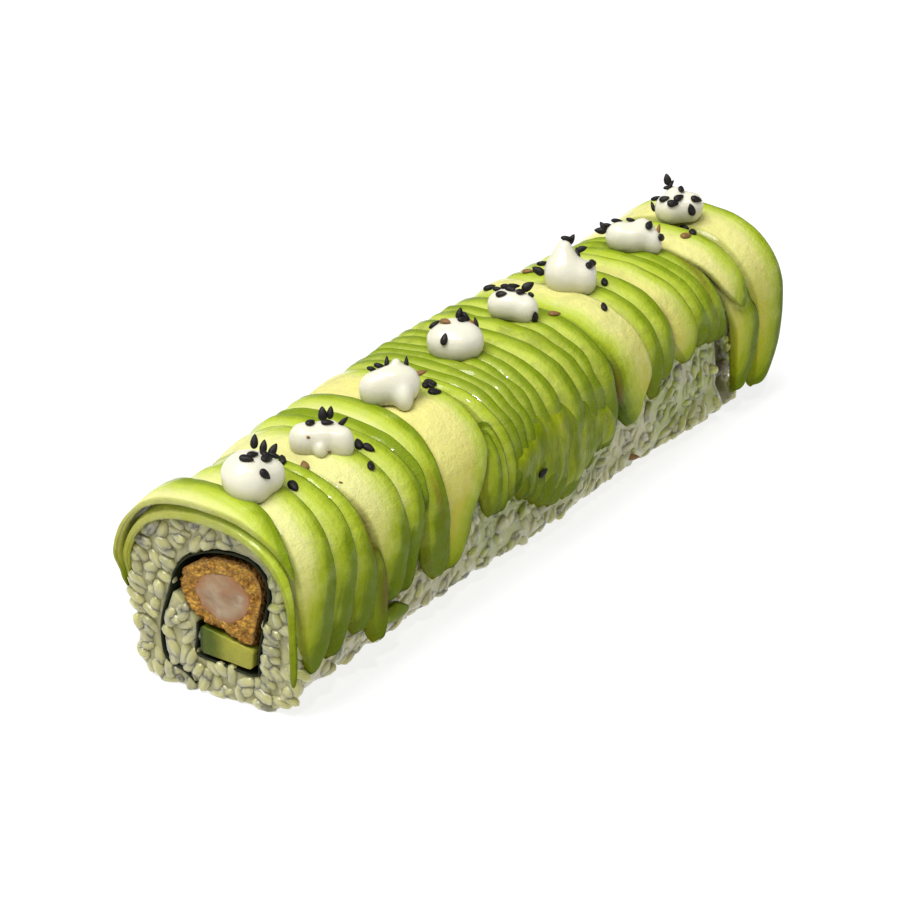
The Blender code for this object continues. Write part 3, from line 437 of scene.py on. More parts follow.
def field_along(x, size, seed, across=0.0):
    """The same noise along a line."""
    return field(np.stack((x, 0.0 * x + across, 0.0 * x), axis=-1), size, seed)


def fields(points, layers, start=0.0):
    """A sum of noises, each given by its strength, size and seed, added to start."""
    return sum((strength * field(points, size, seed) for strength, size, seed in layers), start)


def graded(count, fine):
    """Shares from 0 to 1, t - fine * sin(2 pi t) / (2 pi): close together near both ends."""
    t = np.linspace(0.0, 1.0, count)
    return t - fine * np.sin(2 * math.pi * t) / (2 * math.pi)


# Meshes ----------------------------------------------------------------------------------

def quads_of(rows, columns, wrap_rows=False):
    """Faces of a grid whose columns close on themselves, and whose rows may too."""
    index = np.arange(rows * columns).reshape(rows, columns)
    if wrap_rows:
        index = np.vstack((index, index[:1]))
    after = np.roll(index, -1, axis=1)
    return np.stack((index[:-1], after[:-1], after[1:], index[1:]), axis=-1).reshape(-1, 4)


def skin(rings):
    """Closed skin through rings (stations, points, 3): quads between them, a pole at each end."""
    stations, points = rings.shape[:2]
    vertices = np.vstack((rings.reshape(-1, 3), rings[0].mean(axis=0), rings[-1].mean(axis=0)))
    around = np.arange(points)
    after = np.roll(around, -1)
    count = stations * points
    last = (stations - 1) * points
    start = np.stack((np.full(points, count), after, around), axis=1)
    end = np.stack((np.full(points, count + 1), last + around, last + after), axis=1)
    return vertices, [quads_of(stations, points), np.vstack((start, end))]


def signed_volume(vertices, faces):
    """Six times the volume that the faces enclose, below zero if they face inwards."""
    total = 0.0
    for group in faces:
        for k in range(1, group.shape[1] - 1):
            a, b, c = vertices[group[:, 0]], vertices[group[:, k]], vertices[group[:, k + 1]]
            total += np.einsum("ij,ij->i", a, np.cross(b, c)).sum()
    return total


def new_piece(name, vertices, faces, material, replaced=(), values=None, patched=False):
    """A smooth mesh with its values per vertex, facing outwards, that rides on the roll.

    A patched one is put together from surfaces whose faces may turn either way.
    """
    if signed_volume(vertices, faces) < 0.0:
        faces = [group[:, ::-1] for group in faces]
    mesh = bpy.data.meshes.new(name)
    mesh.vertices.add(len(vertices))
    mesh.vertices.foreach_set("co", np.ascontiguousarray(vertices, dtype=np.float32).ravel())
    corners = np.concatenate([group.ravel() for group in faces]).astype(np.int32)
    sizes = np.concatenate([np.full(len(group), group.shape[1]) for group in faces])
    mesh.loops.add(len(corners))
    mesh.loops.foreach_set("vertex_index", corners)
    mesh.polygons.add(len(sizes))
    mesh.polygons.foreach_set("loop_start", (np.cumsum(sizes) - sizes).astype(np.int32))
    mesh.update(calc_edges=True)
    if patched:
        body = bmesh.new()
        body.from_mesh(mesh)
        bmesh.ops.recalc_face_normals(body, faces=body.faces)
        body.to_mesh(mesh)
        body.free()
    mesh.polygons.foreach_set("use_smooth", np.ones(len(sizes), dtype=bool))
    for key, data in (values or {}).items():
        kind, field_name = ("FLOAT", "value") if data.ndim == 1 else ("FLOAT_VECTOR", "vector")
        attribute = mesh.attributes.new(key, kind, "POINT")
        attribute.data.foreach_set(field_name, data.astype(np.float32).ravel())
    mesh.materials.append(material)
    piece = bpy.data.objects.new(name, mesh)
    bpy.context.scene.collection.objects.link(piece)
    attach(piece, "root")
    if replaced:
        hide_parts(*replaced)
    return piece


def inside(points, outline):
    """Which points lie within a closed outline: an odd number of its sides lie to their right."""
    a, b = outline, np.roll(outline, -1, axis=0)
    u, z = points[:, 0, None], points[:, 1, None]
    crosses = (a[:, 1] > z) != (b[:, 1] > z)
    with np.errstate(divide="ignore", invalid="ignore"):
        at = a[:, 0] + (z - a[:, 1]) / (b[:, 1] - a[:, 1]) * (b[:, 0] - a[:, 0])
    return (crosses & (u < at)).sum(axis=1) % 2 == 1


def distance_to(points, outline):
    """Distance of points from a closed outline."""
    a, b = outline, np.roll(outline, -1, axis=0)
    side = b - a
    share = ((points[:, None] - a) * side).sum(axis=2) / np.maximum((side ** 2).sum(axis=1), 1e-16)
    foot = a + np.clip(share, 0.0, 1.0)[..., None] * side
    return np.linalg.norm(points[:, None] - foot, axis=2).min(axis=1)


# Avocado ---------------------------------------------------------------------------------

SLICE_STATIONS = 110
SLICE_GRADING = 0.93
FACE_SAMPLES = 13
RIM_SAMPLES = 4
SIDE_SAMPLES = 4
BACK_SAMPLES = 4
RISE_SAMPLES = 2
RIM_ROUNDING = 0.38 * MM
RIM_WAVE, RIM_WAVE_SIZE = 0.2 * MM, 0.006
SEAM = 0.1 * MM                  # what each edge stands back from where two slices meet
NARROWEST = 0.02 * MM
TIP_WIDTH, TIP_THICKNESS = 0.01, 0.02    # least shares of them that are left at a tip
FACE_BULGE = 0.03                # rise of a slice's face, as a share of its width
STEP_MOST, RIM_MOST = 0.45, 0.3  # of a slice's thickness and of its width
LEAN_FELT = 0.8                  # share of the slice before's lean that moves the lapped side
GIRTH_STEP = 0.4                 # mm along the girth to a degree
# Height of the lumps, mm, and how much more a bruised slice has; their size, and how much
# smaller it is for each unit of height more
LUMPS, BRUISED_LUMPS = 0.22, 0.24
LUMP_SIZE, LUMP_SHRINK = 0.0065, 7.0
WRINKLES, WRINKLE_SIZE = 0.07 * MM, 0.0016
NOISE_STEP = 0.0137              # from one slice's noise to the next one's


def edge_at(edge, angle):
    """x of a slice's edge from its values at the top, shoulder and flank, eased between them."""
    top, shoulder, flank, *far_side = edge
    far_side = far_side[0] if far_side else top + FAR_SIDE_DRIFT * math.sin(top / FAR_SIDE_WAVE)
    nearby = angle + np.array(EDGE_SMOOTHING)[:, None]
    values = np.interp(nearby, (FLANK, SHOULDER, TOP, 180.0), (flank, shoulder, top, far_side))
    return values.mean(axis=0) * MM


def slice_angles(low, high):
    """Girth angles of a slice's rings, closer together towards both ends."""
    return low + (high - low) * graded(SLICE_STATIONS, SLICE_GRADING)


def rounded(share):
    """Quarter circle from 0 to 1."""
    return np.sqrt(1.0 - (1.0 - np.clip(share, 0.0, 1.0)) ** 2)


def slice_surface(near, far, reach, tip_x=None, taper=(END_TAPER, END_TAPER), lean=(0.0, 0.0),
                  pointing=TIP_POINTING, layer=(0.0, 1.0), opening=0.0, hang=0.0, wave=RIM_WAVE,
                  rough=LUMPS * MM, seed=0):
    """Rings round one slice, from its lower end over the roll to its other end, and their values.

    At each girth angle the ring runs over the face from the lapped side (share 0) to the rim
    (share 1), sunk by step * (1 - share) ^ LAP_SHARE; then round the rim by a quarter circle,
    down the skin side, and back over the rice.  Towards both ends it narrows by a power of a sine
    and thins by a quarter circle.  Each point lies at its depth, a share of the way from the
    dressed surface to the rice, and is lifted off the roll by noise.
    """
    angle = slice_angles(*reach)
    x_near, x_far = (
        edge_at(edge, angle) + inwards * SEAM
        + wave * field_along(angle * GIRTH_STEP * MM, RIM_WAVE_SIZE, 5, edge[0] * MM)
        for edge, inwards in ((near, 1), (far, -1)))
    x_near = x_near + opening * MM * np.interp(angle, OPENING_RAMP, (1.0, 0.0))
    thin = np.ones_like(angle)
    for end, width in zip(reach, taper):
        along = np.abs(angle - end)
        share = np.clip(along / (width * TIP_LENGTHENING), 0.0, 1.0)
        share = np.maximum(np.sin(math.pi / 2 * share) ** pointing, TIP_WIDTH)
        middle = (x_near + x_far) / 2
        point = tip_x * MM if tip_x is not None and end == reach[0] else middle
        x_near, x_far = point + (x_near - point) * share, point + (x_far - point) * share
        thin = thin * np.maximum(rounded(along / TIP_THINNING), TIP_THICKNESS)
    width = np.maximum(x_far - x_near, NARROWEST)
    outer = dressed_outer(angle, hang, (x_near + x_far) / 2)
    inner = dressed_inner(angle, hang)
    dressing = np.linalg.norm(outer - inner, axis=1)
    top, bottom = np.broadcast_to(layer[0], angle.shape), layer[1]
    sunk = np.minimum(LAP_STEP / dressing, (bottom - top) * STEP_MOST)
    rim = np.minimum(RIM_ROUNDING, width * RIM_MOST)

    share = np.linspace(0.0, 1.0, FACE_SAMPLES)[:, None] * (1.0 - rim / width)
    tuck = lean[0] * sunk * LEAN_FELT
    face_x = x_near - tuck + (width + tuck) * share
    crown = FACE_BULGE * width / dressing * np.sin(math.pi * share)
    face_depth = top + sunk * (1.0 - share) ** LAP_SHARE - crown
    turn = np.linspace(0.0, math.pi / 2, RIM_SAMPLES + 1)[1:, None]
    rim_x = x_far - rim + rim * np.sin(turn)
    rim_depth = top + (rim / dressing) * (1.0 - np.cos(turn))
    down = np.linspace(0.0, 1.0, SIDE_SAMPLES + 1)[1:, None]
    side_depth = top + rim / dressing + (bottom - top - rim / dressing) * down
    back_x = np.linspace(1.0, 0.0, BACK_SAMPLES + 1)[1:, None]
    bottom_far, bottom_near = x_far - lean[1] * bottom, x_near - lean[0] * bottom
    rise = np.linspace(0.0, 1.0, RISE_SAMPLES + 2)[1:-1, None]
    x = np.vstack((face_x, rim_x - lean[1] * top, x_far - lean[1] * side_depth,
                   bottom_near + (bottom_far - bottom_near) * back_x,
                   bottom_near + (face_x[0] - bottom_near) * rise))
    depth = np.vstack((face_depth, rim_depth, side_depth, bottom + 0.0 * back_x * width,
                       bottom + (face_depth[0] - bottom) * rise))
    across = np.vstack((share, np.ones_like(rim_x), np.ones_like(side_depth),
                        np.repeat(back_x, len(angle), axis=1), np.zeros((len(rise), len(angle)))))
    from_rim = np.vstack(((1.0 - share) * width, np.zeros_like(rim_x), np.zeros_like(side_depth),
                          (1.0 - back_x) * width, np.repeat(width[None], len(rise), axis=0)))
    middle = (top + bottom) / 2
    depth = middle + (depth - middle) * thin
    section = outer + (inner - outer) * depth[..., None]
    at = place(x, section[..., 0], section[..., 1])
    outward = unit(section - np.array((0.0, FLANK_Z)))
    where = at + np.array((0.0, 0.0, NOISE_STEP * seed))
    lump_size = LUMP_SIZE - LUMP_SHRINK * (rough - LUMPS * MM)
    lift = fields(where, ((rough, lump_size, seed), (WRINKLES, WRINKLE_SIZE, seed + 40)))
    lift = lift * np.clip(1.0 - (depth - top) / (bottom - top), 0.0, 1.0) * thin
    at[..., 1] -= outward[..., 0] * lift
    at[..., 2] = np.maximum(at[..., 2] + outward[..., 1] * lift, 0.0)
    along = np.broadcast_to(np.radians(angle) * ROLL_WIDTH / 2, x.shape)
    flesh = np.stack((across, from_rim / MM, along / MM), axis=-1)
    return at.transpose(1, 0, 2), flesh.transpose(1, 0, 2)


def browned_and_shaded_at(x, along):
    """How dark brown the flesh is, partly browned and partly painted shade in the gaps between
    slices: a bell over each of a few places, by its x and its way along.
    """
    angle = np.degrees(along / (ROLL_WIDTH / 2))
    total = 0.0 * x
    for at_x, at_angle, half_x, half_angle, strength in BROWNED_AND_SHADED:
        away_x, away_angle = (x / MM - at_x) / half_x, (angle - at_angle) / half_angle
        total += strength * np.exp(-away_x ** 2 - away_angle ** 2)
    return total


def add_slice(name, surface, tone, material):
    """One slice from its rings, with what its material reads."""
    rings, flesh = surface
    vertices, faces = skin(rings)
    flesh = np.vstack((flesh.reshape(-1, 3), flesh[0].mean(axis=0), flesh[-1].mean(axis=0)))
    tones = np.tile(np.array(tone, dtype=float), (len(vertices), 1))
    browned_and_shaded = browned_and_shaded_at(vertices[:, 0] + ROLL_MIDDLE[0], flesh[:, 2] * MM)
    return new_piece(f"slice_{name}", vertices, faces, material, (f"avocado_{name}",),
                     {"flesh": flesh, "tone": tones, "browned_and_shaded": browned_and_shaded})


def lean_of(edge):
    """How far a far edge leans back over the next slice: not at all on the first, then fully."""
    return LAP_LEAN * min((edge[0] - AVOCADO[0][0]) / LEAN_RUN_IN, 1.0)


def make_main_slices(material):
    """The lapping slices of the main length, the one under the first and the low strip."""
    before = FIRST_EDGE
    for k, row in enumerate(AVOCADO):
        *edge, tip_x, tip_angle, taper, opening, upper = row
        if upper == LONG:
            upper = FAR_SIDE_REACH + FAR_SIDE_SPREAD * math.sin(FAR_SIDE_TURN * k)
        green, golden, bruise, wave = SLICE_LOOKS.get(k + 1, THIN_SLICE_LOOK)
        lean = (lean_of(before) if k > 0 else 0.0, lean_of(edge) if k + 1 < len(AVOCADO) else 0.0)
        surface = slice_surface(
            before, edge, (tip_angle, upper), tip_x, (taper, END_TAPER), lean,
            layer=(0.0, UPPER_LAYER if k == 0 else 1.0), opening=opening,
            hang=1.0 if k in HANGING else 0.0, wave=wave * MM,
            rough=(LUMPS + BRUISED_LUMPS * bruise) * MM, seed=k)
        if k + 1 == REVERSED_SLICE:
            flesh = surface[1]
            flesh[..., 0] = 1.0 - flesh[..., 0]
            flesh[..., 1] = flesh[..., 1].max(axis=1, keepdims=True) - flesh[..., 1]
        add_slice(f"{k + 1:02d}", surface, (green, golden, bruise), material)
        before = edge
    under = slice_surface(*UNDER_SLICE, layer=(UNDER_LAYER, 1.0), hang=UNDER_HANG, seed=41)
    add_slice("under", under, (-0.1, 0.9, 0.0), material)
    low = slice_surface(*LOW_STRIP, taper=(LOW_STRIP_TAPER, LOW_STRIP_TAPER), seed=42)
    add_slice("low", low, (0.5, 0.1, 0.3), material)


def make_end_slices(material):
    """The three slices of the end slice: the wide one sinks in where the top one lies over it."""
    angle = slice_angles(*END_WIDE_REACH)
    sunk = UNDER_LAYER * np.clip(angle / END_TOP_REACH[0], 0.0, 1.0)
    sunk = np.where(angle > 180.0, 0.0, sunk)
    top = slice_surface(
        END_TOP_NEAR, END_TOP_FAR, END_TOP_REACH, END_TOP_TIP, (END_TOP_TAPER, END_TAPER),
        pointing=BLUNT_POINTING, layer=(0.0, UPPER_LAYER), seed=43)
    wide = slice_surface(
        END_WIDE_NEAR, END_WIDE_FAR, END_WIDE_REACH, END_WIDE_TIP, (END_TIP_TAPER,) * 2,
        lean=(0.0, LAP_LEAN), pointing=END_POINTING, layer=(sunk, 1.0), hang=1.0, seed=44)
    last = slice_surface(
        END_WIDE_FAR, END_LAST_FAR, END_LAST_REACH, END_LAST_TIP, (END_TIP_TAPER,) * 2,
        lean=(LAP_LEAN, 0.0), pointing=END_POINTING, hang=1.0, seed=45)
    add_slice("end_top", top, (0.1, 0.5, 0.0), material)
    add_slice("end_wide", wide, (0.15, 0.5, 0.1), material)
    add_slice("end_last", last, (0.1, 0.6, 0.1), material)


MASH_ACROSS, MASH_DOWN = 150, 44
# x, mm, and the girth angles of the mashed flesh's upper and lower edges there
MASH_EDGE = (
    (-21.0, -17.0, -13.0, -9.5, -5.0, -1.5, 2.0, 5.0, 8.0, 10.5, 12.5, 16.0, 20.0),
    (10.0, 18.0, 24.0, 27.0, 25.0, 28.0, 22.0, 20.0, 24.0, 18.0, 12.0, 12.0, 6.0),
    (1.0, -4.0, -6.0, -9.0, -14.0, -21.0, -24.0, -26.0, -19.0, -12.0, -6.0, -8.0, -8.0),
)
MASH_WAVES = ((3.0, 0.005, 51), (2.6, 0.0014, 52))   # degrees, size and seed, at the same edges
MASH_END = 5.0                   # mm over which it narrows to each end
MASH_DEPTH, MASH_RISE, MASH_BOW = 1.2, 1.85, 0.7     # mm under the dressed face, mm, power
MASH_THICKNESS = (0.15, 0.6)     # mm at its edges, and how much more in its middle
MASH_STREAKS, STREAK_STEP = ((0.42, 0.0026, 53),), 0.12      # mm of noise to a degree
MASH_LUMPS = ((0.12, 0.0022, 54), (0.05, 0.0009, 55))


def make_mash(material):
    """Mashed flesh over the lower ends of the thin slices: a lens between two edges.

    Its outer face stands over the dressed surface by a bow, sin(pi t) to a power, less what the
    slices and the rice under it fall away by, and noise; its inner face lies a little deeper.
    """
    x = np.linspace(MASH_EDGE[0][0], MASH_EDGE[0][-1], MASH_ACROSS)[:, None]
    t = np.linspace(0.0, 1.0, MASH_DOWN)
    upper, lower = (
        np.interp(x, MASH_EDGE[0], edge) + degrees * field_along(x * MM, size, seed)
        for edge, (degrees, size, seed) in zip(MASH_EDGE[1:], MASH_WAVES))
    ends = rounded(np.minimum(x - MASH_EDGE[0][0], MASH_EDGE[0][-1] - x) / MASH_END)
    middle = (upper + lower) / 2
    angle = middle + (upper - middle) * np.maximum(ends, TIP_THICKNESS) * (1.0 - 2.0 * t)
    across = x * MM + 0.0 * angle
    shape = angle.shape
    outer = dressed_outer(angle.ravel(), 0.0, across.ravel()).reshape(*shape, 2)
    inner = dressed_inner(angle.ravel(), 0.0).reshape(*shape, 2)
    at = np.stack((across, angle * GIRTH_STEP * MM, 0.0 * angle), axis=-1)
    streak = np.stack((across, angle * STREAK_STEP * MM, 0.0 * angle), axis=-1)
    bow = np.sin(math.pi * t) ** MASH_BOW * ends ** MASH_BOW
    uneven = fields(at, MASH_LUMPS, fields(streak, MASH_STREAKS))
    depth_mm = MASH_DEPTH - (MASH_RISE + uneven) * bow + t ** 4
    thickness = np.linalg.norm(outer - inner, axis=-1) / MM
    face = outer + (inner - outer) * (depth_mm / thickness)[..., None]
    least, more = MASH_THICKNESS
    back = outer + (inner - outer) * ((depth_mm + least + more * bow) / thickness)[..., None]
    ring = np.concatenate((face, back[:, -2:0:-1]), axis=1)
    ring_x = np.concatenate((across, across[:, -2:0:-1]), axis=1)
    vertices, faces = skin(place(ring_x, ring[..., 0], ring[..., 1]))
    new_piece("avocado_mash", vertices, faces, material, (), None)


# Rice ------------------------------------------------------------------------------------

CORE_INSET = 0.5 * MM
CORE_TOP_SHARE, CORE_TOP = 0.45, 2.0 * MM    # less of an inset from so far above the flanks
CORE_STEP, CORE_AROUND = 1.2 * MM, 150
CORE_LEAST_STATIONS = 24
CORE_FLOOR, CORE_FREE = 0.3 * MM, 0.6 * MM   # its least height, and from where it has lumps
CORE_LUMPS, CORE_LUMP_SIZE = 0.2, 0.003
CORE_FACE_LUMPS, CORE_FACE_LUMP_SIZE = 0.25 * MM, 0.0028
CORE_TINT = ((0.35, 0.0035, 66),)
CORE_MESH, CORE_CLEAR = 1.1, 0.5 * MM        # points of its cut faces, mm apart, and their margin
CORE_BOX, FACE_BOX = ((-24, 24), (0.8, 41)), ((-25.0, 25.0), (0.4, 41.0))    # u and z, mm
# Heights, mm, and how far left the core reaches there at least, to hold the nori's tail
CORE_LEAST = (
    (-1.0, 0.5, 3.0, 4.8, 8.0, 15.6, 22.0, 26.0), (0.0, 7.2, 10.4, 13.7, 14.9, 14.6, 12.5, 0.0))
# Grains tried, mm that they are sunk, tilt, mm between them, share of the full length; faces
# also mm to what the rice is wound round
FLANK_LAYERS = (
    (16000, 0.1, 0.1, 1.75, 1.0), (9000, -0.02, 0.16, 2.4, 0.9), (700, -0.45, 0.45, 5.0, 0.85))
FACE_LAYERS = ((9000, -0.17, 0.28, 1.7, 0.88, 0.9), (5000, -0.45, 0.4, 2.6, 0.82, 0.6))
FLANK_SHARE = {"main": 1.0, "end": 0.16}
GRAIN_SEEDS = {"main": 301, "end": 302}
GRAIN_HEIGHT = 0.83              # as a share of its width
GRAIN_SPREAD = ((0.82, 1.15), (0.82, 1.06), (0.72, 0.95))    # of length, width and height
GRAIN_TINTS = (0.35, 1.0)
GRAIN_BEND, GRAIN_BEND_SIZE = 0.3 * MM, 0.0026
GRAIN_BEADS = (-0.6, 0.0, 0.6)   # where a grain's place is felt, as shares of its half length
GRAIN_FLOOR = 0.05 * MM
GRAIN_BLUNTNESS = 2.6
GRAIN_END = 0.85                 # share of its half length at which a grain may meet a cut
GIRTH_TABLE = (-89.0, 60.0, 600)
BARE_ABOVE_TIPS, FAR_SIDE_BARE = 24.0, 6.0   # degrees
END_SLICE_TIPS = [(78.0, -5.0), (95.0, -10.0)]
SHOWN_RIM, HIDDEN_RIM = 0.05, 1.2            # mm that grains keep from a cut face's rim
# How far stains reach down the shown side, at x, mm
STAIN_AT = (-100.0, -40.0, -15.0, 10.0, 24.0, 50.0, 80.0)
STAIN_REACH = (0.1, 0.25, 0.9, 0.9, 0.5, 0.95, 0.9)
STAIN_HEIGHT, STAIN_MOST, SHOWN_SIDE_Y = 16.0 * MM, 1.2, -0.012
STAIN_PATCHES = ((0.5, 0.006, 64), (0.3, 0.0022, 65))
STAIN_LEVEL, STAIN_PULL, STAIN_EDGE = 0.55, 0.45, 2.4
# Painted shade in the gap between the two lengths: its strength, and how fast it fades
GAP_SHADE_FULL, GAP_SHADE_REACH = 1.3, 0.9 # at the gap's faces, and mm from them over which 1 is lost
HIDDEN_SUNK = 1.2                # mm more, on the two faces in the gap
CUT_MARGIN = 0.9 * MM            # flank grains' centres stay this far from the cuts
GRAIN_AROUND = 7
GRAIN_RINGS = 4


def grain_template():
    """One grain of unit half-length along X, radius (1 - |t|^2.6)^0.5: plump and blunt."""
    along = -np.cos(np.linspace(0.0, math.pi, GRAIN_RINGS + 2)[1:-1])
    radius = (1.0 - np.abs(along) ** GRAIN_BLUNTNESS) ** 0.5
    vertices, faces = skin(rings_along(along, radius, GRAIN_AROUND))
    vertices[-2:, 0] = (-1.0, 1.0)
    return vertices, faces


def scattered(template, centres, axes, sizes):
    """Copies of a template: each point is centre + sum of its coordinates times scaled axes.

    axes is (count, 3, 3), one row per local axis; sizes is (count, 3).
    """
    vertices, faces = template
    points = centres[:, None] + np.einsum("vk,nk,nkj->nvj", vertices, sizes, axes)
    starts = np.arange(len(centres)) * len(vertices)
    grown = [(group[None] + starts[:, None, None]).reshape(-1, group.shape[1]) for group in faces]
    return points, grown


def axes_along(heading, up):
    """Right-handed axes: the first points along heading, the third is as near up as can be."""
    first = unit(heading)
    second = unit(np.cross(up, first))
    return np.stack((first, second, np.cross(first, second)), axis=1)


def spread_out(rng, points, headings, half_length, gap):
    """Which of the points to keep so that no two grains lie nearer than gap: each is a short
    line of three beads, and one is kept if its beads are clear of those kept before it."""
    along = half_length * np.array(GRAIN_BEADS)
    beads = points[:, None] + headings[:, None] * along[None, :, None]
    kept = []
    held = np.empty((0, 3))
    for k in rng.permutation(len(points)):
        if len(held) == 0 or np.min(((beads[k][:, None] - held) ** 2).sum(axis=2)) > gap * gap:
            kept.append(k)
            held = np.vstack((held, beads[k]))
    return np.array(kept, dtype=int)


def bare_below(x, far_side):
    """Girth angle below which the rice is bare at x: just above the slices' lower tips."""
    tips = sorted(row[3:5] for row in AVOCADO if row[4] < 20) + END_SLICE_TIPS
    return np.where(far_side, FAR_SIDE_BARE, np.interp(x / MM, *zip(*tips)) + BARE_ABOVE_TIPS)


def flank_grains(rng, length, count, inset):
    """Random places on the bare flanks and base, even along the girth: their points, outward and
    sideways axes."""
    start, end = LENGTHS[length]
    x = rng.uniform(plane_x(start, 0.0, FLANK_Z), plane_x(end, 0.0, FLANK_Z), count)
    far_side = rng.random(count) < 0.5
    table = np.linspace(*GIRTH_TABLE)
    line = np.stack(rice_outline(np.radians(table), 0.0 * table), axis=1)
    walked = np.concatenate(((0.0,), np.cumsum(np.linalg.norm(np.diff(line, axis=0), axis=1))))
    highest = np.interp(bare_below(x, far_side), table, walked)
    angle = np.interp(highest * rng.random(count), walked, table)
    angle = np.where(far_side, 180.0 - angle, angle)
    turn, ahead = np.radians(angle), np.radians(angle + 0.5)
    points, nexts = (np.stack(rice_outline(t, x), axis=1) for t in (turn, ahead))
    tangent = unit(nexts - points)
    outward = np.stack((tangent[:, 1], -tangent[:, 0]), axis=1)
    section = points - outward * inset
    near_cut = x < plane_x(start, section[:, 0], section[:, 1]) + CUT_MARGIN
    past_cut = x > plane_x(end, section[:, 0], section[:, 1]) - CUT_MARGIN
    keep = ~(near_cut | past_cut)
    centre = place(x, section[:, 0], section[:, 1])[keep]
    up = np.stack((0.0 * x, -outward[:, 0], outward[:, 1]), axis=1)[keep]
    side = np.stack((0.0 * x, -tangent[:, 0], tangent[:, 1]), axis=1)[keep]
    return centre, up, side


def face_grains(rng, length, which, count, inset, clear, from_rim):
    """Random places on a cut face, clear of its rim and of what the rice is wound round."""
    plane = LENGTHS[length][which]
    outward = -1.0 if which == 0 else 1.0
    x = plane_x(plane, 0.0, FLANK_Z)
    rim = np.stack(rice_outline(np.linspace(0.0, 2 * math.pi, 180, endpoint=False), x), axis=1)
    chamber = chamber_outline()
    points = np.stack([rng.uniform(*span, count) for span in FACE_BOX], axis=1) * MM
    good = inside(points, rim) & ~inside(points, chamber)
    good &= (distance_to(points, chamber) > clear) & (distance_to(points, rim) > from_rim)
    points = points[good]
    u, z = points[:, 0], points[:, 1]
    centre = place(plane_x(plane, u, z) - outward * inset, u, z)
    up = np.tile((outward, 0.0, 0.0), (len(centre), 1))
    side = np.tile((0.0, 1.0, 0.0), (len(centre), 1))
    return centre, up, side


def laid_grains(rng, places, tilt, gap, half_length, between=None):
    """Grains lying on the given places at random headings, tilted a little out of the surface.

    Those whose ends would stand past the two cuts of between are left out.
    """
    centre, up, side = places
    heading = rng.uniform(0.0, 2 * math.pi, len(centre))[:, None]
    across = np.cross(up, side)
    direction = side * np.cos(heading) + across * np.sin(heading)
    direction = unit(direction + up * rng.uniform(-tilt, tilt, len(centre))[:, None])
    if between:
        held = np.linalg.norm(direction, axis=1) > 0.5    # none at a place that has no side
        for end in (-GRAIN_END, GRAIN_END):
            x, u, z = unplace(centre + direction * half_length * end)
            held &= (x > plane_x(between[0], u, z)) & (x < plane_x(between[1], u, z))
        centre, direction, up = centre[held], direction[held], up[held]
    keep = spread_out(rng, centre, direction, half_length, gap)
    return centre[keep], direction[keep], up[keep], np.full(len(keep), half_length)


